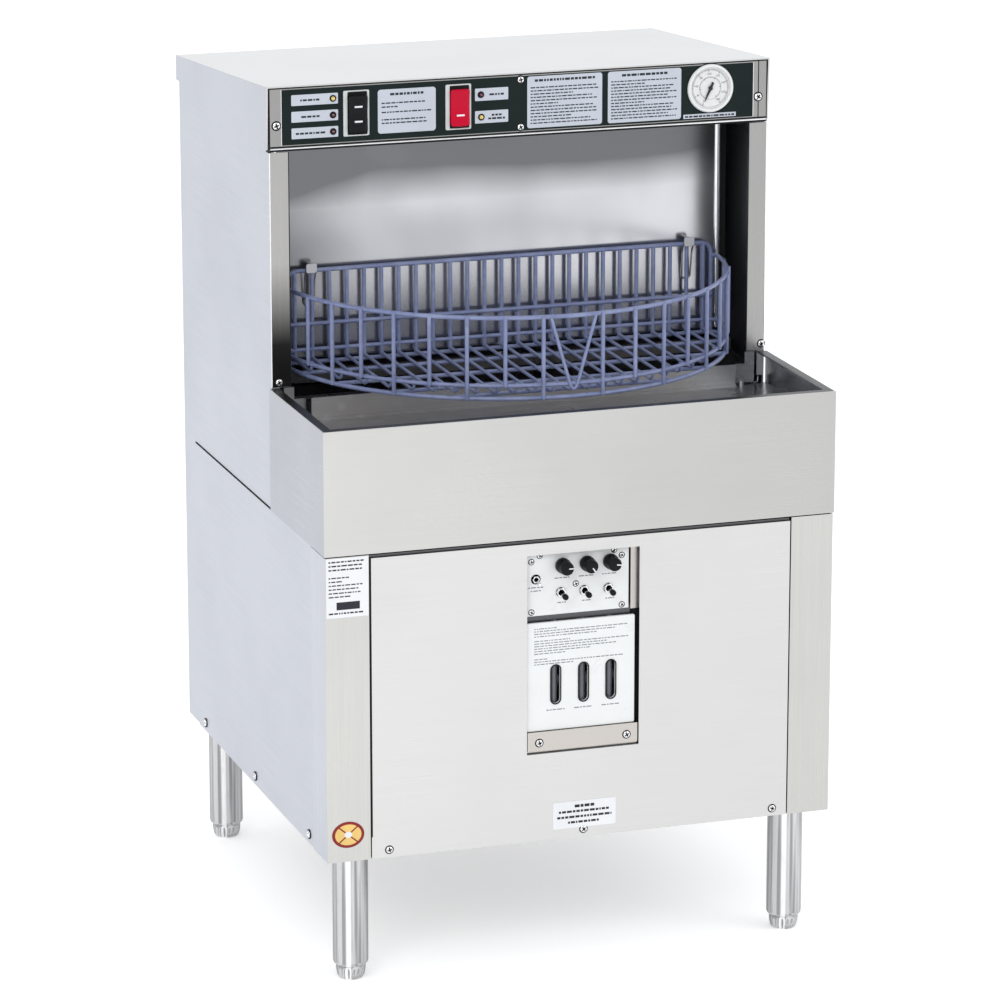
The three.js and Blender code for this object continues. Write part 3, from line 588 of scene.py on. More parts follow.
# Nearly black steel: painted shade on folds, rails, sills and ledges that sit in shade.
shade_dark_steel = brushed("shade_dark_steel", (0.10, 0.10, 0.105), 0.3, ACROSS)
bright_steel = polished("bright_steel", (0.82, 0.82, 0.83), 0.14)
clip_steel = brushed("clip_steel", (0.46, 0.46, 0.48), 0.35, UPRIGHT)
leg_steel = leg_tube_steel("leg_steel", (0.30, 0.30, 0.31), (0.58, 0.58, 0.585), 0.16)
band_film = moulded("band_film", (0.006, 0.012, 0.012), 0.42, mottle=0.15, grain=2200, specular=0.12)
black_moulding = moulded("black_moulding", (0.004, 0.005, 0.006), 0.28, specular=0.14)
red_moulding = moulded("red_moulding", (0.46, 0.0, 0.022), 0.22, coat=0.04, mottle=0.05, specular=0.12)
white_moulding = moulded("white_moulding", (0.80, 0.80, 0.78), 0.42, mottle=0.03)
frame_moulding = moulded("frame_moulding", (0.50, 0.52, 0.52), 0.38, mottle=0.06)
white_enamel = moulded("white_enamel", (0.67, 0.68, 0.68), 0.30, mottle=0.02, grain=500)
dial_white = moulded("dial_white", (0.62, 0.62, 0.62), 0.40, mottle=0.02, grain=500)
grey_moulding = moulded("grey_moulding", (0.24, 0.26, 0.27), 0.3)
tube_plastic = moulded("tube_plastic", (0.075, 0.085, 0.10), 0.15, coat=0.6, mottle=0.2)
card_stock = moulded("card_stock", (0.44, 0.47, 0.53), 0.42, mottle=0.03, grain=1500, bump=0.00001)
card_ink = moulded("card_ink", (0.02, 0.022, 0.03), 0.5, mottle=0.2, grain=1500, specular=0.2)
faint_ink = moulded("faint_ink", (0.20, 0.21, 0.23), 0.5, mottle=0.2, grain=1500, specular=0.2)
label_white = moulded("label_white", (0.67, 0.68, 0.70), 0.45, mottle=0.03, grain=1500, bump=0.00001)
# Black for seals and black parts, and painted shade in wells, gaps, joints and screw recesses.
seal_and_shade_black = moulded("seal_and_shade_black", (0.008, 0.008, 0.008), 0.6, grain=700, bump=0.00005, specular=0.15)
wire_coat = dipped_wire("wire_coat", (0.155, 0.185, 0.33))
badge_red = moulded("badge_red", (0.22, 0.02, 0.02), 0.35, mottle=0.1, specular=0.2)
badge_gold = moulded("badge_gold", (0.70, 0.47, 0.14), 0.35, mottle=0.1)
lamp_amber = glowing_lens("lamp_amber", (0.80, 0.55, 0.16))
lamp_red = glowing_lens("lamp_red", (0.20, 0.06, 0.08))
motor_enamel = moulded("motor_enamel", (0.05, 0.07, 0.09), 0.4, mottle=0.15, grain=400, bump=0.00006)
window_clear = clear_window("window_clear", (0.97, 0.98, 0.98), 0.03, 0.03)

# ---- CAD nodes that stay: a better material and softly rounded edges ----
FINISH = {
    apron_steel: ["drip_box"],
    front_steel: ["access_panel", "control_housing"],
    bracket_steel: ["dispenser_box"],
    band_steel: ["control_plate"],
    side_steel: ["cabinet_side_left", "cabinet_side_right", "lower_side_left", "lower_side_right",
                 "cabinet_rear", "lower_rear_panel"],
    post_steel: ["corner_post_left", "corner_post_right"],
    top_steel: ["top_cover"],
    divider_steel: ["divider_panel"],
    tray_steel: ["drip_tray"],
    tank_steel: ["wash_tank", "base_pan", "lower_bearing_rail", "upper_bearing_bridge",
                 "riser_pipe", "upper_spray_pipe", "lower_spray_pipe"],
    bright_steel: ["gauge_case", "prime_toggle_1", "prime_toggle_2", "prime_toggle_3", "mode_toggle"],
    leg_steel: [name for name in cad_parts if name.startswith(("leg_", "foot_"))],
    black_moulding: ["gauge_needle", "power_rocker", "dose_knob_1", "dose_knob_2", "dose_knob_3"],
    red_moulding: ["start_rocker"],
    white_moulding: ["power_bezel", "start_bezel", "level_float", "fill_valve"],
    white_enamel: ["dispenser_plate", "tube_cover"],
    grey_moulding: ["drain_standpipe", "pump_volute", "pump_impeller", "dosing_roller_1", "dosing_roller_2",
                    "dosing_roller_3"],
    seal_and_shade_black: ["divider_seal"],
    motor_enamel: ["pump_motor"],
    wire_coat: [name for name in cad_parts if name.startswith("basket_")],
}
for material, names in FINISH.items():
    for name in names:
        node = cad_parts[name]
        node.data.materials.clear()
        node.data.materials.append(material)
SOFT_EDGES = ["drip_box", "access_panel", "top_cover", "corner_post_left", "corner_post_right",
              "cabinet_side_left", "cabinet_side_right", "lower_side_left", "lower_side_right",
              "control_plate", "control_housing"]
for name in SOFT_EDGES:
    bevel(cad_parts[name], 0.7 * MM)


# ---- Wire baskets ----
def arc(radius, z, start_deg, end_deg, steps):
    return [Vector((radius * math.cos(math.radians(start_deg + (end_deg - start_deg) * k / steps)),
                    radius * math.sin(math.radians(start_deg + (end_deg - start_deg) * k / steps)), z))
            for k in range(steps + 1)]


RIM_WIRE, RING_WIRE, UPRIGHT_WIRE, FLOOR_WIRE = 2.6 * MM, 2.4 * MM, 2.0 * MM, 1.8 * MM
WIRE_PITCH = 21 * MM
MIDDLE_TO_LAST = 12        # upright and floor wires on each side of the middle one


def basket_wires(guard_box, floor_box):
    """The half-round basket at the front: rings, straight back wall, guard wires and floor wires."""
    lo, hi = guard_box
    floor_z = floor_box[0].z + RING_WIRE
    mid_z, rim_z = floor_z + 15 * MM, floor_z + 93 * MM
    back_y, back_z = hi.y - RIM_WIRE, hi.z - RIM_WIRE
    radius = -lo.y - RIM_WIRE
    back_half = math.sqrt(radius ** 2 - back_y ** 2) - 6 * MM
    shape = Shape()
    reach = math.degrees(math.asin(-back_y / radius))
    start, end = -180 + reach + 1.5, -reach - 1.5

    def ring(z, thick):
        path = arc(radius, z, start, end, 64)
        corner_right, corner_left = Vector((back_half, back_y, z)), Vector((-back_half, back_y, z))
        loop = [path[-2], path[-1], corner_right, Vector((0, back_y, z)), corner_left, path[0], path[1]]
        shape.take(*rod(path[2:-2] + rounded(loop, 9 * MM), thick, closed=True))

    ring(floor_z, RIM_WIRE)
    ring(mid_z, RING_WIRE)
    rim = [Vector((-back_half, back_y, rim_z)), *arc(radius, rim_z, start, end, 72),
           Vector((back_half, back_y, rim_z))]
    shape.take(*rod(rounded(rim, 8 * MM), RIM_WIRE))
    frame_path = [(-back_half, back_y, floor_z), (-back_half, back_y, back_z), (back_half, back_y, back_z),
                  (back_half, back_y, floor_z)]
    shape.take(*rod(rounded(frame_path, 15 * MM, 8), RIM_WIRE))
    brace_z = floor_z + 46 * MM
    shape.take(*rod([(-back_half, back_y - 3 * MM, brace_z), (back_half, back_y - 3 * MM, brace_z)],
                    UPRIGHT_WIRE, flare=1.2))
    for k in range(-MIDDLE_TO_LAST, MIDDLE_TO_LAST + 1):
        x = k * WIRE_PITCH
        shape.take(*rod([(x, back_y, floor_z), (x, back_y, back_z)], UPRIGHT_WIRE, flare=1.25))

    # Guard wires alternate between the lowest ring and the one above it; a bent V stands in the middle.
    step_deg, first_deg = 9.15, 7.5
    outer = radius + RING_WIRE
    for side in (-1, 1):
        for k in range(9):
            angle = math.radians(-90 + side * (first_deg + step_deg * k))
            foot = floor_z if k % 2 == 0 else mid_z
            x, y = outer * math.cos(angle), outer * math.sin(angle)
            shape.take(*rod([(x, y, rim_z + 1 * MM), (x, y, foot - 1 * MM)], UPRIGHT_WIRE, flare=1.2))
    v_top = math.radians(5.7)
    v_path = [(-outer * math.sin(v_top), -outer * math.cos(v_top), rim_z), (0, -outer, floor_z - 1 * MM),
              (outer * math.sin(v_top), -outer * math.cos(v_top), rim_z)]
    shape.take(*rod(rounded(v_path, 6 * MM, 10), UPRIGHT_WIRE))

    # Floor wires run front to back and turn up at the edge on to the second ring.
    floor_wire_z = floor_z + 4.5 * MM
    for k in range(-MIDDLE_TO_LAST, MIDDLE_TO_LAST + 1):
        x = k * WIRE_PITCH
        edge = -math.sqrt(max(0.0, (radius - 3 * MM) ** 2 - x ** 2))
        path = [(x, back_y, floor_wire_z), (x, edge + 10 * MM, floor_wire_z),
                (x, edge + 1 * MM, floor_wire_z + 3 * MM), (x, edge, mid_z + 2 * MM)]
        shape.take(*rod(rounded(path, 5 * MM, 4), FLOOR_WIRE, sides=8, flare=1.2))
    for y in (-70 * MM, -130 * MM, -190 * MM, -235 * MM):
        reach_x = math.sqrt(radius ** 2 - y ** 2)
        shape.take(*rod([(-reach_x, y, floor_z + 1 * MM), (reach_x, y, floor_z + 1 * MM)], UPRIGHT_WIRE,
                        flare=1.2))
    return shape


wires = basket_wires(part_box("basket_front_guard"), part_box("basket_front_floor"))
for name, turn in (("front", 0), ("rear", math.pi)):
    basket = wires.make(f"basket_{name}_wires", wire_coat, body="rotor", slot="coated_wire", sharp_deg=60,
                        place=Matrix.Rotation(turn, 4, "Z"))
    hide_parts(f"basket_{name}_floor", f"basket_{name}_guard")

# ---- Rotor: rolled edges of the divider and the clips that hold the baskets ----
panel_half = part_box("divider_panel")[1].x
panel_face = 5 * MM
EDGE_LOW, EDGE_HIGH = 667 * MM, 919 * MM
edges = Shape()
for side in (-1, 1):
    for face in (-1, 1):
        x, y = side * (panel_half - 4 * MM), face * (panel_face - 1.2 * MM)
        edges.take(*rod([(x, y, EDGE_LOW), (x, y, EDGE_HIGH)], 3.6 * MM, sides=14))
edges.make("divider_rolled_edges", bright_steel, body="rotor", slot="polished_steel", sharp_deg=50)

# Each clip is a flat tab in front of the top wire, with a wire staple below it that reaches to the panel.
clips = Shape()
wire_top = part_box("basket_front_guard")[1].z
CLIP_X, TAB_OUT, TAB_THICK = 232.5 * MM, 13.5 * MM, 1.4 * MM
for turn in (0, math.pi):
    for side in (-1, 1):
        clip_place = at(FRONT, side * CLIP_X, -(panel_face + 0.2 * MM), wire_top)
        place = Matrix.Rotation(turn, 4, "Z") @ clip_place
        tab = sheet_mesh(rounded_rect(0, 0.5 * MM, 13 * MM, 11 * MM, 2.5 * MM), [], TAB_THICK, 0.3 * MM)
        tab_points = [v.co + Vector((0, 0, TAB_OUT)) for v in tab.vertices]
        clips.take(tab_points, [list(p.vertices) for p in tab.polygons], place)
        staple = [(-6 * MM, 0, TAB_OUT), (-6 * MM, -12 * MM, TAB_OUT * 0.5), (-6 * MM, -46 * MM, 1.2 * MM),
                  (6 * MM, -46 * MM, 1.2 * MM), (6 * MM, -12 * MM, TAB_OUT * 0.5), (6 * MM, 0, TAB_OUT)]
        clips.take(*rod(rounded(staple, 5 * MM, 6), 1.0 * MM, sides=8), place)
        clips.take(*rod([(0, 4 * MM, 0), (0, 4 * MM, TAB_OUT + 0.5 * MM)], 1.6 * MM, sides=8), place)
clips.make("basket_clips", clip_steel, body="rotor", slot="polished_steel")

# ---- Control band ----
band_lo, band_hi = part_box("control_plate")
band_y = band_lo.y
gauge_lo, gauge_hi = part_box("gauge_case")
gauge_x, gauge_z = (gauge_lo.x + gauge_hi.x) / 2, (gauge_lo.z + gauge_hi.z) / 2
bezels = {name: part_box(f"{name}_bezel") for name in ("power", "start")}
film_left, film_right = band_lo.x + 15 * MM, band_hi.x - 18 * MM
film_low, film_high = band_lo.z + 6.2 * MM, band_hi.z - 2.0 * MM
film_depth = 0.5 * MM
film_face = band_y - film_depth


def centred_rect(u0, u1, v0, v1, radius):
    return rounded_rect((u0 + u1) / 2, (v0 + v1) / 2, u1 - u0, v1 - v0, radius)


film_holes = []
for lo, hi in bezels.values():
    film_holes.append(centred_rect(lo.x + 2 * MM, lo.x + 29 * MM, lo.z + 3 * MM, hi.z - 3 * MM, 1 * MM))
film_holes.append(circle(gauge_x, gauge_z, 28.6 * MM, 64))
plate("band_film", centred_rect(film_left, film_right, film_low, film_high, 1.2 * MM), film_holes,
      film_depth, 0.15 * MM, at(FRONT, 0, band_y, 0), band_film)

# Tags beside the lamps, and instruction cards: rows of plain dashes stand in for any wording.
CARD = 0.35 * MM
INK = 0.05 * MM
WORD_WEIGHT = 1.4          # how much bolder a dash is than the height given for its row


def word_row(shape, u0, u1, top, height, seed):
    """A row of dashes as long as words would be."""
    height *= WORD_WEIGHT
    lengths = random.Random(seed)
    u = u0
    while u < u1 - 1.2 * MM:
        length = min(lengths.uniform(1.6, 6.5) * MM, u1 - u)
        shape.take(*block((u, top - height, 0), (u + length, top, INK)))
        u += length + 1.1 * MM


def card(name, u0, u1, v0, v1, radius, rows, face=film_face, stock=card_stock, margin=5 * MM):
    """A card on a front face; a row is (drop from its top, start share, end share, height of a dash)."""
    plate(name, centred_rect(u0, u1, v0, v1, radius), [], CARD, 0.1 * MM, at(FRONT, 0, face, 0), stock)
    dashes = Shape()
    width = u1 - u0 - 2 * margin
    for index, (drop, start, end, height) in enumerate(rows):
        word_row(dashes, u0 + margin + width * start, u0 + margin + width * end, v1 - drop, height,
                 f"{name} {index}")
    dashes.make(f"{name}_dashes", card_ink, slot="black_plastic", place=at(FRONT, 0, face - CARD, 0),
                smooth=False)


def text_rows(count, first, pitch, ends, height=1.0 * MM):
    return [(first + pitch * k, 0.0, ends[k % len(ends)], height) for k in range(count)]


TAG_RISE = 6.2 * MM
lamp_x = -226 * MM
LEFT_TAG_Z = (986 * MM, 967 * MM, 948 * MM)
for index, (z, start, end) in enumerate(zip(LEFT_TAG_Z, (0.14, 0.16, 0.02), (0.62, 0.62, 0.78))):
    card(f"lamp_tag_{index + 1}", -275 * MM, -220 * MM, z - TAG_RISE, z + TAG_RISE, 1 * MM,
         [(TAG_RISE - 0.8 * MM, start, end, 1.6 * MM)], margin=4 * MM)
card("lamp_tag_4", -57 * MM, -17 * MM, 972.8 * MM, 987.2 * MM, 1 * MM, [(6.4 * MM, 0.42, 0.95, 1.6 * MM)],
     margin=3 * MM)
card("lamp_tag_5", -57 * MM, -17 * MM, 946.8 * MM, 961.2 * MM, 1 * MM,
     [(4.2 * MM, 0.50, 0.88, 1.6 * MM), (8.2 * MM, 0.38, 0.98, 1.6 * MM)], margin=3 * MM)
lamps = {"lamp_power": (lamp_x, LEFT_TAG_Z[0], lamp_amber), "lamp_water": (lamp_x, LEFT_TAG_Z[1], lamp_red),
         "lamp_dosing": (lamp_x, LEFT_TAG_Z[2], lamp_red), "lamp_washing": (-50 * MM, 980 * MM, lamp_red),
         "lamp_finished": (-49.5 * MM, 954 * MM, lamp_amber)}
lamp_rims = Shape()
for name, (x, z, lens) in lamps.items():
    share = 0.66 if lens is lamp_red else 0.9
    dome = [(0, 0), (2.7, 0), (2.7, 0.6), (2.5, 1.6), (1.9, 2.5), (1.0, 2.9), (0, 3.0)]
    verts, faces = turned([(r * share * MM, w * MM) for r, w in dome], 24)
    place = at(FRONT, x, film_face - CARD, z)
    make(name, verts, faces, lens, slot="red_plastic" if lens is lamp_red else "white_plastic", place=place)
    inner = 2.7 * share + 0.05
    rim = [(inner, 0), (3.9, 0), (3.9, 0.5), (3.5, 1.0), (inner + 0.3, 1.0), (inner, 0.6), (inner, 0)]
    lamp_rims.take(*turned([(r * MM, w * MM) for r, w in rim], 28), place)
lamp_rims.make("lamp_rims", seal_and_shade_black, slot="black_plastic")

CARD_LOW, CARD_HIGH = 937.5 * MM, 997.5 * MM
TITLE = 2.0 * MM
card("card_daily", -173 * MM, -104 * MM, 942 * MM, 992.5 * MM, 3.5 * MM,
     [(4.4 * MM, 0.17, 0.83, TITLE), (15 * MM, 0, 0.86, 1.1 * MM), (19.4 * MM, 0, 0.34, 1.1 * MM),
      (25.5 * MM, 0, 1, 1.1 * MM), (34 * MM, 0, 0.87, 1.1 * MM), (38 * MM, 0, 0.92, 1.1 * MM)],
     margin=4.5 * MM)
USE_ENDS = (0.96, 0.99, 0.62, 0.9, 0.97, 0.4, 0.93)     # where the rows of the two big cards end
CARE_ENDS = (0.98, 0.5, 0.95, 0.9, 0.99, 0.85)
card("card_use", 6 * MM, 97 * MM, CARD_LOW, CARD_HIGH, 3 * MM,
     [(3.6 * MM, 0.06, 0.94, TITLE)] + text_rows(12, 12.5 * MM, 3.75 * MM, USE_ENDS), margin=4 * MM)
card("card_care", 104 * MM, 194 * MM, CARD_LOW, CARD_HIGH, 3 * MM,
     [(3.6 * MM, 0.16, 0.86, TITLE)] + text_rows(13, 11.2 * MM, 3.6 * MM, CARE_ENDS), margin=4 * MM)
card("gauge_strip", 197 * MM, 262 * MM, 937 * MM, 942 * MM, 0.6 * MM, [(1.7 * MM, 0.0, 1.0, 1.5 * MM)],
     margin=2 * MM)

# Switches: a light frame, and a proud cap with round corners and crowned ends that is hollow in the middle.
FRAME_WIDTH, FRAME_HEIGHT = 30.6 * MM, 52.5 * MM
WELL_LEFT, WELL_RIGHT = 4.9 * MM, 28.2 * MM          # from the left edge of the frame
WELL_MARGIN = 1.6 * MM                               # above and below the well
CAP_PROUD = 3.0 * MM
MARK_RISES = {"power": (8.5, -8.5), "start": (-8.5,)}  # millimetres from the middle of the cap
CAP_CORNER = 3.0 * MM
for name, cap_material, slot_name in (("power", black_moulding, "black_plastic"),
                                      ("start", red_moulding, "red_plastic")):
    lo, hi = bezels[name]
    cx, cz = lo.x + (WELL_LEFT + WELL_RIGHT) / 2, (lo.z + hi.z) / 2
    frame_low, frame_high = cz - FRAME_HEIGHT / 2 + 0.6 * MM, cz + FRAME_HEIGHT / 2 + 0.6 * MM
    well = centred_rect(lo.x + WELL_LEFT, lo.x + WELL_RIGHT, frame_low + WELL_MARGIN,
                        frame_high - WELL_MARGIN, 1.2 * MM)
    outline = centred_rect(lo.x, lo.x + FRAME_WIDTH, frame_low, frame_high, 1.6 * MM)
    frame_plate = plate(f"{name}_switch_frame", outline, [well], 2.0 * MM, 0.5 * MM,
                        at(FRONT, 0, band_y - 0.1 * MM, 0), frame_moulding)
    # A dark sheet in the well round the cap: painted shade.
    plate(f"{name}_switch_well", centred_rect(lo.x, hi.x, lo.z, hi.z, 1.2 * MM), [],
          0.4 * MM, 0.1 * MM, at(FRONT, 0, band_y + 0.2 * MM, 0), seal_and_shade_black)
    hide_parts(f"{name}_bezel")
    cap_lo, cap_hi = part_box(f"{name}_rocker")
    half_w, half_h = (WELL_RIGHT - WELL_LEFT) / 2 - 0.6 * MM, (cap_hi.z - cap_lo.z) / 2 - 1.0 * MM
    front = cap_lo.y - CAP_PROUD
    rows, columns = 49, 13
    verts, faces = [], []
    for row in range(rows):
        t = -1 + 2 * row / (rows - 1)
        crown = 2.2 * MM * abs(t) ** 1.6
        fall = 1.8 * MM * (max(0, abs(t) - 0.92) / 0.08) ** 2
        from_end = (1 - abs(t)) * half_h
        inset = CAP_CORNER - math.sqrt(max(0, CAP_CORNER ** 2 - max(0, CAP_CORNER - from_end) ** 2))
        in_ridge = name == "power" and abs(t) > 0.3 and math.sin(t * 11 * math.pi) > 0.3
        for column in range(columns):
            share = -1 + 2 * column / (columns - 1)
            shoulder = 1.2 * MM * (max(0, abs(share) - 0.7) / 0.3) ** 2
            ridged = in_ridge and abs(share) < 0.75
            depth = front + 2.4 * MM - crown + fall + shoulder - 0.4 * MM * ridged
            verts.append((cx + share * (half_w - inset), depth, cz + t * half_h))
    for row in range(rows - 1):
        for column in range(columns - 1):
            a = row * columns + column
            faces.append([a, a + 1, a + columns + 1, a + columns])
    back = cap_lo.y + 14 * MM
    edge = (list(range(columns)) + [row * columns + columns - 1 for row in range(1, rows)]
            + [(rows - 1) * columns + column for column in range(columns - 2, -1, -1)]
            + [row * columns for row in range(rows - 2, 0, -1)])
    base = len(verts)
    verts += [(cx + (verts[i][0] - cx) * 0.96, back, cz + (verts[i][2] - cz) * 0.9) for i in edge]
    for k, i in enumerate(edge):
        n = (k + 1) % len(edge)
        faces.append([i, base + k, base + n, edge[n]])
    faces.append([base + k for k in range(len(edge))])
    cap = make(f"{name}_switch_cap", verts, faces, cap_material, body=f"{name}_rocker", slot=slot_name,
               sharp_deg=50)
    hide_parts(f"{name}_rocker")
    for rise in MARK_RISES[name]:
        verts, faces = block((-4.6 * MM, -1.0 * MM, -0.4 * MM), (4.6 * MM, 1.0 * MM, 0.1 * MM))
        make(f"{name}_cap_mark_{'upper' if rise > 0 else 'lower'}", verts, faces, label_white,
             body=f"{name}_rocker", slot="white_plastic",
             place=at(FRONT, cx, front + 1.5 * MM, cz + rise * MM), smooth=False)

# Gauge: rolled rim, dial with ticks and numbers, domed window.
DIAL_START, DIAL_SWEEP = 245, 300          # degrees from +u, and clockwise from there
DIAL_W = 0.4 * MM
gauge_place = at(FRONT, gauge_x, gauge_lo.y + 4 * MM, gauge_z)


def turned_mm(profile, segments):
    return turned([(r * MM, w * MM) for r, w in profile], segments)


rim_profile = [(24.2, -3), (28.3, -3), (28.3, 1.2), (27.9, 2.4), (27, 3.3), (25.8, 3.5), (24.8, 2.9),
               (24.3, 2.0), (24.2, 1.2), (24.2, -3)]
make("gauge_rim", *turned_mm(rim_profile, 72), white_enamel, slot="polished_steel", place=gauge_place)
shadow_ring = [(28.3, 0), (28.9, 0), (28.9, 0.8), (28.3, 0.8), (28.3, 0)]
make("gauge_shadow_ring", *turned_mm(shadow_ring, 72), seal_and_shade_black, slot="black_plastic",
     place=at(FRONT, gauge_x, film_face + 0.2 * MM, gauge_z))
make("gauge_dial", *turned_mm([(0, -2.6), (24.1, -2.6), (24.1, 0.4), (0, 0.4)], 72), dial_white,
     slot="white_plastic", place=gauge_place)
cup_profile = [(0, -31), (24, -31), (25, -30), (25, -3), (0, -3)]
gauge_cup = make("gauge_cup", *turned_mm(cup_profile, 48), bright_steel, slot="polished_steel",
                 place=gauge_place)
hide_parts("gauge_case")


def dial_scale(shape, inner, outer, long_inner, steps, every):
    """Ticks between two radii, in millimetres; every so many, one reaches further in."""
    for k in range(steps + 1):
        angle = math.radians(DIAL_START - DIAL_SWEEP * k / steps)
        start, thick = (long_inner, 0.34) if k % every == 0 else (inner, 0.2)
        verts, faces = block((start * MM, -thick * MM, DIAL_W), (outer * MM, thick * MM, DIAL_W + INK))
        shape.take(verts, faces, gauge_place @ Matrix.Rotation(angle, 4, "Z"))


ticks = Shape()
dial_scale(ticks, 20.6, 22.2, 19.4, 80, 10)
dial_scale(ticks, 12.0, 13.2, 11.2, 50, 10)
for radius in (22.2, 13.2):
    line = [(radius, 0.4), (radius + 0.28, 0.4), (radius + 0.28, 0.45), (radius, 0.45), (radius, 0.4)]
    ticks.take(*turned_mm(line, 72), gauge_place)
ticks.make("gauge_ticks", card_ink, slot="black_plastic", smooth=False)


def dial_number(name, value, radius, size, angle):
    text = bpy.data.curves.new("number", "FONT")
    text.body = str(value)
    text.size = size
    text.extrude = 0.04 * MM
    text.align_x, text.align_y = "CENTER", "CENTER"
    helper = bpy.data.objects.new("number", text)
    bpy.context.scene.collection.objects.link(helper)
    bpy.context.view_layer.update()
    mesh = bpy.data.meshes.new_from_object(helper)
    bpy.data.objects.remove(helper)
    spot = Matrix.Translation((radius * math.cos(angle), radius * math.sin(angle), DIAL_W + 0.04 * MM))
    mesh.transform(gauge_place @ spot)
    finish_object(name, mesh, card_ink, "root", smooth=False)


for k in range(9):
    dial_number(f"gauge_number_{k + 1}", 20 * (k + 1), 16.8 * MM, 3.6 * MM,
                math.radians(DIAL_START - DIAL_SWEEP * k / 8))
window_profile = [(0, 1.9), (14, 1.7), (24.0, 1.3), (24.0, 2.0), (14, 2.5), (0, 2.7)]
make("gauge_window", *turned_mm(window_profile, 64), window_clear, slot="white_plastic", place=gauge_place)

# ---- Folded hems and screws ----
box_lo, box_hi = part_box("drip_box")
RIM_ROLL = 0.9 * MM
rim_x, rim_y = box_hi.x - RIM_ROLL, box_lo.y + RIM_ROLL
rim_z, rim_back = box_hi.z - RIM_ROLL + 0.3 * MM, box_hi.y
BAR = 1.25 * MM
bar_y, bar_z = band_y + 0.5 * MM, band_lo.z + 2.2 * MM
hems = Shape()
rim_path = [(-rim_x, rim_back, rim_z), (-rim_x, rim_y, rim_z), (rim_x, rim_y, rim_z),
            (rim_x, rim_back, rim_z)]
hems.take(*rod(rounded(rim_path, 3 * MM, 4), RIM_ROLL, sides=12))
hems.take(*rod([(-band_hi.x + 1 * MM, bar_y, bar_z), (band_hi.x - 1 * MM, bar_y, bar_z)], BAR, sides=14))
for x in (film_left - 0.6 * MM, film_right + 0.6 * MM):
    hems.take(*rod([(x, band_y, film_low), (x, band_y, film_high)], 0.5 * MM, sides=8))
hems.make("folded_hems", bright_steel, slot="polished_steel", sharp_deg=60)

# Inner folds of the drip box rim, darkened as painted shade.
FOLD_THICK = 0.3 * MM
fold_in, fold_out = 11.6 * MM, 1.7 * MM
fold_front, fold_top = box_lo.y + fold_out, box_hi.z + FOLD_THICK
fold_x = (box_hi.x - fold_in, box_hi.x - fold_out)
folds = [((-fold_x[0], fold_front, box_hi.z), (fold_x[0], box_lo.y + fold_in, fold_top))]
for x0, x1 in ((-fold_x[1], -fold_x[0]), fold_x):
    folds.append(((x0, fold_front, box_hi.z), (x1, rim_back - 1 * MM, fold_top)))
boxes("drip_box_folds", folds, shade_dark_steel, slot="cabinet_steel")

# Narrow joints that stay in shadow: above and below the band, beside it, and beside the left corner post.
access_lo, access_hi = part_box("access_panel")
joints = []
for low, high in ((band_lo.z + 3.3 * MM, band_lo.z + 5.2 * MM),
                  (band_lo.z - 0.6 * MM, band_lo.z + 1.1 * MM),
                  (band_hi.z - 0.8 * MM, band_hi.z + 0.7 * MM)):
    joints.append(((-band_hi.x, band_y - 0.25 * MM, low), (band_hi.x, band_y + 0.3 * MM, high)))
for left, right in ((-band_hi.x - 0.2 * MM, -band_hi.x + 1.0 * MM), (band_hi.x - 1.2 * MM, band_hi.x),
                    (film_right + 6.5 * MM, film_right + 7.6 * MM)):
    joints.append(((left, band_y - 0.2 * MM, band_lo.z), (right, band_y + 0.3 * MM, band_hi.z)))
joints.append(((access_lo.x - 0.6 * MM, access_lo.y - 0.2 * MM, access_lo.z + 26 * MM),
               (access_lo.x + 1.1 * MM, access_lo.y + 0.3 * MM, access_hi.z)))
boxes("band_shadow_joints", joints, seal_and_shade_black, slot="seal_rubber")

# Behind the top edge of the access panel: a rail, and the seal behind it; both are dark as painted shade in
# the gap there.
for name, front, back, rise, look, slot_name in (
        ("panel_top_rail", 3.5 * MM, 5 * MM, 3 * MM, shade_dark_steel, "inner_steel"),
        ("panel_top_seal", 6 * MM, 7 * MM, 5 * MM, seal_and_shade_black, "seal_rubber")):
    strip = ((access_lo.x, access_lo.y + front, access_hi.z - 8 * MM),
             (access_hi.x, access_lo.y + back, access_hi.z + rise))
    boxes(name, [strip], look, slot=slot_name)

# Door posts: a cover plate on each in a shaded copy of the steel, with a bright outer edge and a dark inner
# lip of painted shade.
post_edges, post_lips = Shape(), Shape()
for name, side, steel_look in (("left", -1, left_door_steel), ("right", 1, right_door_steel)):
    lo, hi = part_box(f"cabinet_side_{name}")
    outer_x = lo.x if side < 0 else hi.x
    inner_x = outer_x - side * 22.6 * MM
    post_low, post_high = box_hi.z + 1.5 * MM, band_lo.z - 1.5 * MM
    u0, u1 = sorted((outer_x - side * 1.0 * MM, inner_x))
    plate(f"door_post_plate_{name}", centred_rect(u0, u1, post_low, post_high, 0.6 * MM), [], 0.6 * MM,
          0.15 * MM, at(FRONT, 0, lo.y, 0), steel_look)
    for shape, x, thick in ((post_edges, outer_x - side * 0.5 * MM, 0.7 * MM),
                            (post_lips, inner_x, 0.7 * MM)):
        shape.take(*rod([(x, lo.y - 0.2 * MM, post_low), (x, lo.y - 0.2 * MM, post_high)], thick, sides=8))
post_edges.make("door_post_edges", bright_steel, slot="polished_steel", sharp_deg=60)
post_lips.make("door_post_lips", seal_and_shade_black, slot="seal_rubber", sharp_deg=60)

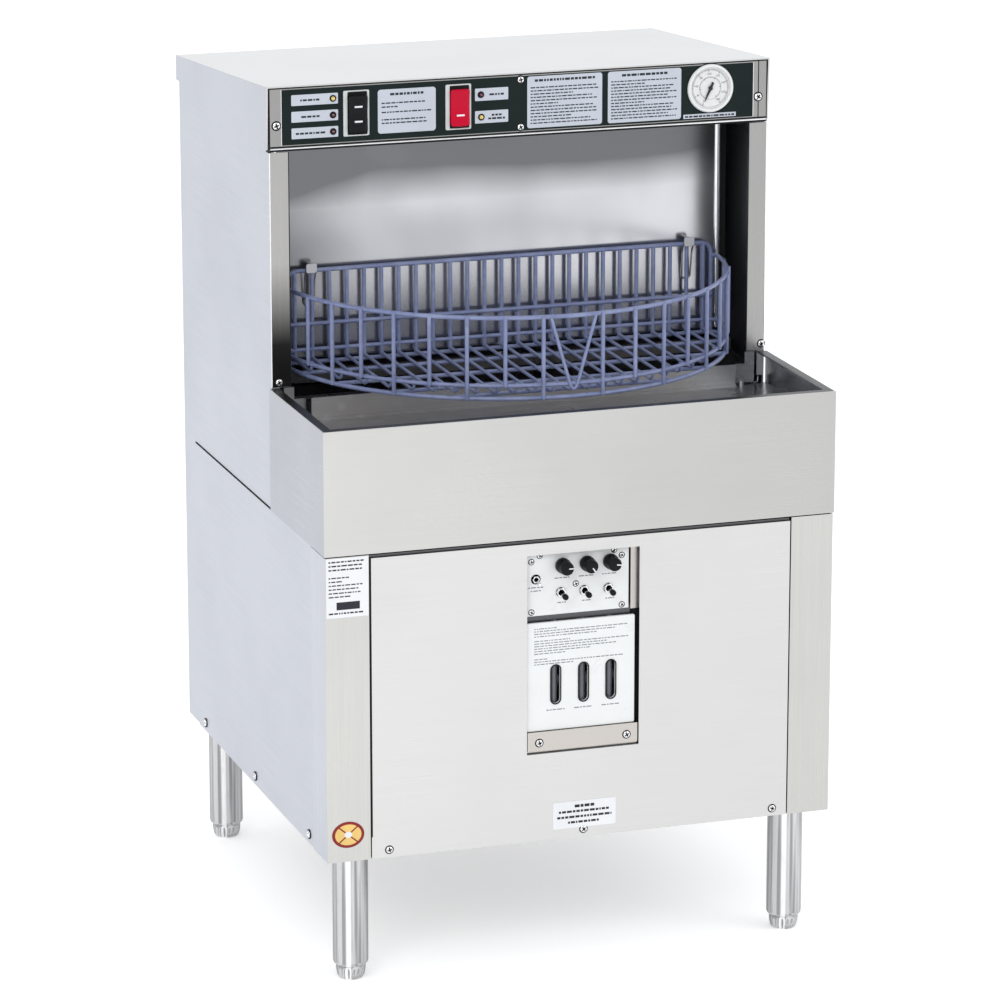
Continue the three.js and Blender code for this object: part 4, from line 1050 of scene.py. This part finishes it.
# Small fittings at the ends of the tray.
tray_lo, tray_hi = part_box("drip_tray")
fittings = Shape()
for side in (-1, 1):
    x, y = side * 266.5 * MM, tray_hi.y - 15.5 * MM
    fittings.take(*rod([(x, y, tray_lo.z + 3 * MM), (x, y, tray_lo.z + 9 * MM),
                        (x, y, tray_lo.z + 10.5 * MM)], 3.6 * MM, sides=14))
    hook = [(side * 294 * MM, rim_back, 624 * MM), (side * 293 * MM, rim_back - 1 * MM, 617.5 * MM),
            (side * 287 * MM, rim_back - 3 * MM, 617 * MM)]
    fittings.take(*rod(hook, 0.8 * MM, sides=8))
fittings.make("tray_end_fittings", clip_steel, slot="polished_steel", sharp_deg=60)

# Stepped plates that stand at the ends of the tray.
GUARD_STEPS = ((262 * MM, 276 * MM, 641 * MM), (276 * MM, 288 * MM, 655 * MM))  # from x, to x, top
GUARD_FRONT, GUARD_BACK, GUARD_LOW = -92.4 * MM, -91 * MM, 618 * MM
guards = []
for side in (-1, 1):
    for near, far, top in GUARD_STEPS:
        left, right = sorted((side * near, side * far))
        guards.append(((left, GUARD_FRONT, GUARD_LOW), (right, GUARD_BACK, top)))
boxes("tray_end_guards", guards, tank_steel, slot="inner_steel")

screw_verts, screw_faces = pan_screw()
screws, screw_shadows = Shape(), Shape()


def add_screw(bright, dark, place, radius=4.2 * MM, shade_ring_height=0.06 * MM):
    """A screw head with painted shade: a dark line round it and a dark cross in its recess."""
    bright.take(screw_verts, screw_faces, place)
    ring = [(radius * 0.96, 0), (radius * 1.24, 0), (radius * 1.24, shade_ring_height), (radius * 0.96, shade_ring_height),
            (radius * 0.96, 0)]
    dark.take(*turned(ring, 32), place)
    arm, reach, level = 0.15 * radius, 0.6 * radius, 1.25 * MM
    for half_u, half_v in ((arm, reach), (reach, arm)):
        dark.take(*block((-half_u, -half_v, level), (half_u, half_v, level + 0.1 * MM)), place)


def screw(side, x, y, z, turn_deg=0, scale=1.0, shade_ring_height=0.06 * MM):
    place = at(side, x, y, z) @ Matrix.Rotation(math.radians(turn_deg), 4, "Z") @ Matrix.Scale(scale, 4)
    add_screw(screws, screw_shadows, place, shade_ring_height=shade_ring_height)


for x, turn in ((-231 * MM, 12), (2 * MM, 40), (234 * MM, 71)):
    screw(FRONT, x, access_lo.y, access_lo.z + 9 * MM, turn)
for x, turn in ((band_lo.x + 8.4 * MM, 20), (band_hi.x - 11.3 * MM, 55)):
    screw(FRONT, x, band_y, 958 * MM, turn, 1.1)
for z, turn in ((994.5 * MM, 10), (939.5 * MM, 33)):
    screw(FRONT, -2 * MM, film_face, z, turn, 0.95)
for x, z in ((-293 * MM, 661 * MM), (297.5 * MM, 663 * MM)):
    screw(FRONT, x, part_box("cabinet_side_left")[0].y - 0.6 * MM, z, 25, 1.0)
for side, name in ((LEFT, "left"), (RIGHT, "right")):
    lo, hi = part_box(f"lower_side_{name}")
    for y, turn in ((217.5 * MM, 15), (-3.6 * MM, 62), (-228 * MM, 37)):
        screw(side, lo.x if name == "left" else hi.x, y, lo.z + 11 * MM, turn, 1.1, shade_ring_height=0.9 * MM)
rear_lo, rear_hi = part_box("cabinet_rear")
for x in (-280 * MM, 0, 280 * MM):
    for z in (rear_lo.z + 14 * MM, 820 * MM):
        screw(BACK, x, rear_hi.y, z, 25 + x * 300)
low_lo, low_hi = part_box("lower_rear_panel")
for x in (-250 * MM, 0, 250 * MM):
    for z in (low_lo.z + 12 * MM, low_hi.z - 12 * MM):
        screw(BACK, x, low_hi.y, z, 47 - x * 200)
screws.make("cabinet_screws", bright_steel, slot="polished_steel", sharp_deg=25)
# Painted shade: the dark rings round the screws and the dark crosses in their recesses.
screw_shadows.make("cabinet_screw_recesses", seal_and_shade_black, slot="seal_rubber", smooth=False)

# ---- Dispenser window ----
plate_lo, plate_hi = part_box("dispenser_plate")
cover_lo, cover_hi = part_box("tube_cover")
housing_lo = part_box("dispenser_box")[0]
SLOT_RADIUS = 5.6 * MM
slot_low, slot_high = 314 * MM, 359.5 * MM
channel_x = []
for index in (1, 2, 3):
    lo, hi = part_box(f"dosing_roller_{index}")
    channel_x.append((lo.x + hi.x) / 2)
slot_outlines = []
for x in channel_x:
    slot_outlines.append(centred_rect(x - SLOT_RADIUS, x + SLOT_RADIUS, slot_low, slot_high, SLOT_RADIUS))
cover = plate("tube_cover_plate", centred_rect(cover_lo.x, cover_hi.x, cover_lo.z, cover_hi.z, 1.5 * MM),
              slot_outlines, cover_hi.y - cover_lo.y, 0.5 * MM, at(FRONT, 0, cover_hi.y, 0), white_enamel)
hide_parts("tube_cover")
rims, tubes = Shape(), Shape()
for x in channel_x:
    outer = centred_rect(x - SLOT_RADIUS - 1.1 * MM, x + SLOT_RADIUS + 1.1 * MM, slot_low - 1.1 * MM,
                         slot_high + 1.1 * MM, SLOT_RADIUS + 1.1 * MM)
    inner = centred_rect(x - SLOT_RADIUS + 0.3 * MM, x + SLOT_RADIUS - 0.3 * MM, slot_low + 0.3 * MM,
                         slot_high - 0.3 * MM, SLOT_RADIUS - 0.3 * MM)
    slot_rim = sheet_mesh(outer, [inner], 0.9 * MM, 0.25 * MM)
    rims.take([v.co for v in slot_rim.vertices], [list(p.vertices) for p in slot_rim.polygons],
              at(FRONT, 0, cover_lo.y, 0))
    tube_y = cover_hi.y + 5.0 * MM
    tubes.take(*rod([(x, tube_y, z * MM) for z in (290, 312, 366, 412)], 4.6 * MM, sides=24))
rims.make("slot_rims", seal_and_shade_black, slot="black_plastic")
tubes.make("dosing_tubes", tube_plastic, slot="grey_plastic")

# Black strips behind the plate and the cover close the gaps that would show the inside of the housing:
# painted shade.
liner_y = plate_hi.y + 1 * MM
SHADE_STRIPS = ((56, 61.5, 417, 498), (61, 71.5, 284, 416), (-71.5, 71.5, 253, 262), (-71.5, -64, 284, 498))
shades = []
for x0, x1, z0, z1 in SHADE_STRIPS:
    shades.append(((x0 * MM, liner_y, z0 * MM), (x1 * MM, liner_y + 1 * MM, z1 * MM)))
boxes("dispenser_shade_strips", shades, seal_and_shade_black, slot="seal_rubber")
SILL_LOW, SILL_HIGH = 254 * MM, 257.4 * MM
sill = ((-69 * MM, access_lo.y + 0.6 * MM, SILL_LOW), (71 * MM, housing_lo.y - 0.2 * MM, SILL_HIGH))
boxes("window_sill_shadow", [sill], shade_dark_steel, slot="cabinet_steel")
# A dark steel ledge between the bottom of the plate and the top of the cover: painted shade.
ledge = ((cover_lo.x, plate_hi.y + 0.4 * MM, cover_hi.z - 6 * MM),
         (60 * MM, plate_hi.y + 2 * MM, plate_lo.z + 4 * MM))
boxes("dispenser_ledge", [ledge], shade_dark_steel, slot="cabinet_steel")

window_screws, window_screw_shades = Shape(), Shape()
PLATE_SCREWS = ((-59.3, 482.2), (49.1, 481.2), (-59.2, 423.1), (49.4, 422.8), (-6.1, 452.5), (-49.3, 488.9),
                (39.9, 488.1))
for x, z in PLATE_SCREWS:
    turn = Matrix.Rotation(x + z, 4, "Z")
    add_screw(window_screws, window_screw_shades,
              at(FRONT, x * MM, plate_lo.y, z * MM) @ turn @ Matrix.Scale(0.72, 4))
for x, z in ((-51.6, 269.6), (53.9, 269.4)):
    add_screw(window_screws, window_screw_shades,
              at(FRONT, x * MM, housing_lo.y, z * MM) @ Matrix.Rotation(x, 4, "Z"))
window_screws.make("dispenser_screws", bright_steel, slot="polished_steel", sharp_deg=25)
# Painted shade: the dark rings round the screws and the dark crosses in their recesses.
window_screw_shades.make("dispenser_screw_recesses", seal_and_shade_black, slot="seal_rubber", smooth=False)

# Knobs: fluted skirt, flat cap and a white pointer line. The pointer angle is measured from +u.
for index, pointer_deg in ((1, 0), (2, -56), (3, -7)):
    lo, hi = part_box(f"dose_knob_{index}")
    cx, cz = (lo.x + hi.x) / 2, (lo.z + hi.z) / 2
    front = lo.y
    profile = [(0, 0), (6.8, 0), (7.6, 0.4), (8.0, 1.4), (8.3, 11), (8.9, 12.5), (8.9, 17.6), (8.4, 18),
               (3, 18), (3, 28), (0, 28)]
    verts, faces = turned([(r * MM, -w * MM) for r, w in reversed(profile)], 72)
    shaped = []
    for u, v, w in verts:
        if 7.8 * MM < math.hypot(u, v) < 8.7 * MM:
            flute = 1 - 0.04 * (0.5 + 0.5 * math.cos(18 * math.atan2(v, u)))
            u, v = u * flute, v * flute
        shaped.append((u, v, w))
    knob = make(f"dose_knob_{index}_fluted", shaped, faces, black_moulding, body=f"dose_knob_{index}",
                slot="black_plastic", place=at(FRONT, cx, front, cz), sharp_deg=30)
    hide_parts(f"dose_knob_{index}")
    verts, faces = block((1.8 * MM, -0.65 * MM, -0.2 * MM), (7.4 * MM, 0.65 * MM, 0.14 * MM))
    pointer_place = at(FRONT, cx, front, cz) @ Matrix.Rotation(math.radians(pointer_deg), 4, "Z")
    make(f"dose_knob_{index}_pointer", verts, faces, label_white, body=f"dose_knob_{index}",
         slot="white_plastic", place=pointer_place, smooth=False)

# Toggle bushings with hexagon nuts stay on the plate; each bat lever tips on its own body.
bushings = Shape()
TOGGLES = {"prime_toggle_1": (-24, 444, 1.0, 5), "prime_toggle_2": (4, 444, 1.0, 5),
           "prime_toggle_3": (33, 444, 1.0, 5), "mode_toggle": (-53.9, 461.5, 0.75, 11)}
NUT = [(4.0, 0), (6.0, 0), (6.0, 1.8), (5.6, 2.2), (4.0, 2.2), (4.0, 0)]
SLEEVE = [(3.6, 0), (4.5, 0), (4.5, 2.8), (4.3, 3.2), (3.9, 3.2), (3.6, 0)]
BAT = [(0, -2), (1.0, -2), (1.0, 4), (1.7, 8), (2.4, 12), (2.9, 16.5), (2.8, 18.6), (2.0, 19.8), (0, 20)]
TIP = [(0, 13), (2.5, 13), (3.1, 13.4), (3.5, 17), (3.3, 19.4), (2.4, 20.6), (0, 20.9)]
for name, (x, z, scale, droop_deg) in TOGGLES.items():
    place = at(FRONT, x * MM, plate_lo.y, z * MM) @ Matrix.Scale(scale, 4)
    bushings.take(*turned_mm(NUT, 6), place)
    bushings.take(*turned_mm(SLEEVE, 24), place)
    droop = Matrix.Rotation(math.radians(droop_deg), 4, "X")
    lever_place = at(FRONT, x * MM, plate_lo.y + 1 * MM, z * MM) @ droop @ Matrix.Scale(scale, 4)
    lever = make(f"{name}_lever", *turned_mm(BAT, 20), bright_steel, body=name, slot="polished_steel",
                 place=lever_place)
    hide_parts(name)
    if name != "mode_toggle":
        make(f"{name}_tip", *turned_mm(TIP, 20), black_moulding, body=name, slot="black_plastic",
             place=lever_place)
bushings.make("toggle_bushings", bright_steel, slot="polished_steel", sharp_deg=30)

# Printed matter on the plate and the cover: rows of faint dashes.
plate_print, cover_print = Shape(), Shape()
for index, x in enumerate((-22.7, 6.5, 34.5)):
    word_row(plate_print, (x - 9) * MM, (x + 9) * MM, 461.5 * MM, 0.9 * MM, f"knob {index}")
    word_row(plate_print, (x - 5) * MM, (x + 6) * MM, 432.5 * MM, 0.9 * MM, f"toggle {index}")
word_row(plate_print, -63 * MM, -45 * MM, 452.5 * MM, 0.9 * MM, "mode")
word_row(plate_print, -60 * MM, -48 * MM, 448.5 * MM, 0.9 * MM, "mode lower")
COVER_ROWS = [(404.5, -57, -30), (401.5, -57, 55), (398.5, -57, 40), (395.5, -57, 20), (390, -57, -14),
              (387, -57, 56), (384, -57, 30), (381, -57, 42), (378, -57, 10), (375, -57, -20),
              (368.5, -57, -40), (365.5, -57, 52), (362.5, -57, -10)]
for index, (z, start, end) in enumerate(COVER_ROWS):
    word_row(cover_print, start * MM, end * MM, z * MM, 0.8 * MM, f"cover {index}")
for index, x in enumerate(channel_x):
    word_row(cover_print, x - 11 * MM, x + 11 * MM, 307.5 * MM, 0.9 * MM, f"channel {index}")
plate_print.make("plate_print", faint_ink, slot="grey_plastic", place=at(FRONT, 0, plate_lo.y, 0),
                 smooth=False)
cover_print.make("cover_print", faint_ink, slot="grey_plastic", place=at(FRONT, 0, cover_lo.y, 0),
                 smooth=False)

# ---- Plain labels on the lower front ----
post_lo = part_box("corner_post_left")[0]
label_left, label_right = post_lo.x + 1 * MM, post_lo.x + 50.2 * MM
card("post_label", label_left, label_right, 440 * MM, 509 * MM, 0.6 * MM,
     text_rows(3, 3.5 * MM, 4.6 * MM, (0.95, 0.9, 0.9), 1.2 * MM)
     + text_rows(6, 22 * MM, 4.4 * MM, (0.55, 0.4, 0.95, 0.8, 0.9, 0.6), 1.0 * MM)
     + [(63 * MM, 0.0, 0.95, 1.3 * MM)],
     face=post_lo.y, stock=label_white, margin=3 * MM)
ink_block = centred_rect(label_left + 12 * MM, label_right - 10 * MM, 449 * MM, 458 * MM, 0.5 * MM)
plate("post_label_block", ink_block, [], CARD + 0.06 * MM, 0.05 * MM, at(FRONT, 0, post_lo.y, 0), card_ink)
card("door_label", -35 * MM, 41 * MM, 164 * MM, 196 * MM, 1.5 * MM,
     [(4.5 * MM, 0.32, 0.68, 2.4 * MM), (11 * MM, 0.03, 0.97, 1.9 * MM), (17.5 * MM, 0.0, 1.0, 1.9 * MM),
      (24 * MM, 0.2, 0.8, 1.9 * MM)],
     face=access_lo.y, stock=label_white)
badge = at(FRONT, -279.5 * MM, post_lo.y, 184.5 * MM)
plate("post_badge", ellipse(0, 0, 38 * MM, 31 * MM), [], 0.3 * MM, 0.08 * MM, badge, badge_red)
plate("post_badge_field", ellipse(0, 0, 31 * MM, 24.5 * MM), [], 0.42 * MM, 0.05 * MM, badge, badge_gold)
spokes = Shape()
for angle_deg in (40, -40):
    turned_badge = badge @ Matrix.Rotation(math.radians(angle_deg), 4, "Z")
    spokes.take(*block((-14 * MM, -0.8 * MM, 0.42 * MM), (14 * MM, 0.8 * MM, 0.5 * MM)), turned_badge)
spokes.make("post_badge_spokes", badge_red, slot="red_plastic", smooth=False)
plate("post_badge_hub", ellipse(0, 0, 9 * MM, 7.4 * MM), [], 0.55 * MM, 0.05 * MM, badge, label_white)

# ---- Legs and feet: turned sleeves with a rolled shoulder, and fluted adjustable feet ----
for corner in ("front_left", "front_right", "rear_left", "rear_right"):
    lo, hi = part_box(f"leg_{corner}")
    cx, cy = (lo.x + hi.x) / 2, (lo.y + hi.y) / 2
    radius, bottom, top = 20.5 * MM, lo.z, hi.z
    profile = [(0, top), (27 * MM, top), (27 * MM, top - 3 * MM), (21.5 * MM, top - 4 * MM),
               (radius, top - 6 * MM), (radius, bottom + 4 * MM), (19.9 * MM, bottom + 1.2 * MM),
               (18.9 * MM, bottom), (10 * MM, bottom), (10 * MM, bottom + 110 * MM), (0, bottom + 110 * MM)]
    verts, faces = turned(list(reversed(profile)), 56)
    leg = make(f"leg_{corner}_tube", verts, faces, leg_steel, slot="polished_steel",
               place=Matrix.Translation((cx, cy, 0)))
    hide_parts(f"leg_{corner}")
    shown = 17.6 * MM
    profile = [(0, 0), (11.5 * MM, 0), (14 * MM, 1 * MM), (15.6 * MM, 3.4 * MM), (16.6 * MM, 8 * MM),
               (17 * MM, 12 * MM), (17 * MM, 15.6 * MM), (16.2 * MM, shown), (8 * MM, shown),
               (8 * MM, 70 * MM), (0, 70 * MM)]
    verts, faces = turned(profile, 96)
    fluted = []
    for x, y, z in verts:
        r = math.hypot(x, y)
        if 12 * MM < r and 1.5 * MM < z < 15 * MM:
            dip = 1 - 0.055 * (0.5 + 0.5 * math.cos(12 * math.atan2(y, x))) ** 2
            x, y = x * dip, y * dip
        fluted.append((x, y, z))
    foot = make(f"foot_{corner}_fluted", fluted, faces, leg_steel, body=f"foot_{corner}",
                slot="polished_steel", place=Matrix.Translation((cx, cy, 0)), sharp_deg=40)
    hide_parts(f"foot_{corner}")

# ---- Stage, light and camera ----
FLOOR_HALF = 30
FLOOR_GLOW = 0.35          # a light table: it keeps the shadow under the machine pale
floor_verts = [(-FLOOR_HALF, -FLOOR_HALF, 0), (FLOOR_HALF, -FLOOR_HALF, 0), (FLOOR_HALF, FLOOR_HALF, 0),
               (-FLOOR_HALF, FLOOR_HALF, 0)]
floor_mesh = bpy.data.meshes.new("floor")
floor_mesh.from_pydata(floor_verts, [], [[0, 1, 2, 3]])
floor = bpy.data.objects.new("floor", floor_mesh)
bpy.context.scene.collection.objects.link(floor)
floor_look = Nodes("studio_floor")
floor_look.set(Roughness=0.8, Emission_Color=(1, 1, 1, 1), Emission_Strength=FLOOR_GLOW)
floor_tone = floor_look.remap(floor_look.noise((3, 3, 3)), 0.3, 0.7, 0, 1)
floor_look.colour(floor_look.mix(floor_tone, (0.90, 0.90, 0.90), (0.92, 0.92, 0.92)))
floor_mesh.materials.append(floor_look.material)

world = bpy.data.worlds.new("studio")
bpy.context.scene.world = world
world.use_nodes = True
world.node_tree.nodes["Background"].inputs["Color"].default_value = (0.97, 0.985, 1.0, 1)
world.node_tree.nodes["Background"].inputs["Strength"].default_value = 0.95


def area_light(name, location, target, size, power):
    light = bpy.data.lights.new(name, "AREA")
    light.shape = "RECTANGLE"
    light.size, light.size_y = size
    light.energy = power
    obj = bpy.data.objects.new(name, light)
    bpy.context.scene.collection.objects.link(obj)
    obj.location = location
    obj.rotation_mode = "QUATERNION"
    obj.rotation_quaternion = (Vector(target) - Vector(location)).to_track_quat("-Z", "Y")
    return obj


area_light("key", (-2.6, -3.6, 3.4), (0, 0, 0.6), (2.4, 2.4), 60)
area_light("fill", (3.2, -2.6, 2.2), (0, 0, 0.6), (2.6, 2.6), 30)

CAMERA_PLACE = (-1.8166, -5.4166, 2.0003)
CAMERA_YAW, CAMERA_PITCH = math.radians(18.571), math.radians(14.952)
forward = Vector((math.sin(CAMERA_YAW) * math.cos(CAMERA_PITCH),
                  math.cos(CAMERA_YAW) * math.cos(CAMERA_PITCH), -math.sin(CAMERA_PITCH)))
camera_data = bpy.data.cameras.new("camera")
camera_data.lens = 179.49
camera_data.sensor_width = 36
camera_data.clip_end = 100
camera = bpy.data.objects.new("camera", camera_data)
bpy.context.scene.collection.objects.link(camera)
camera.location = CAMERA_PLACE
camera.rotation_mode = "QUATERNION"
camera.rotation_quaternion = forward.to_track_quat("-Z", "Y")
bpy.context.scene.camera = camera
bpy.context.scene.view_settings.view_transform = "Standard"
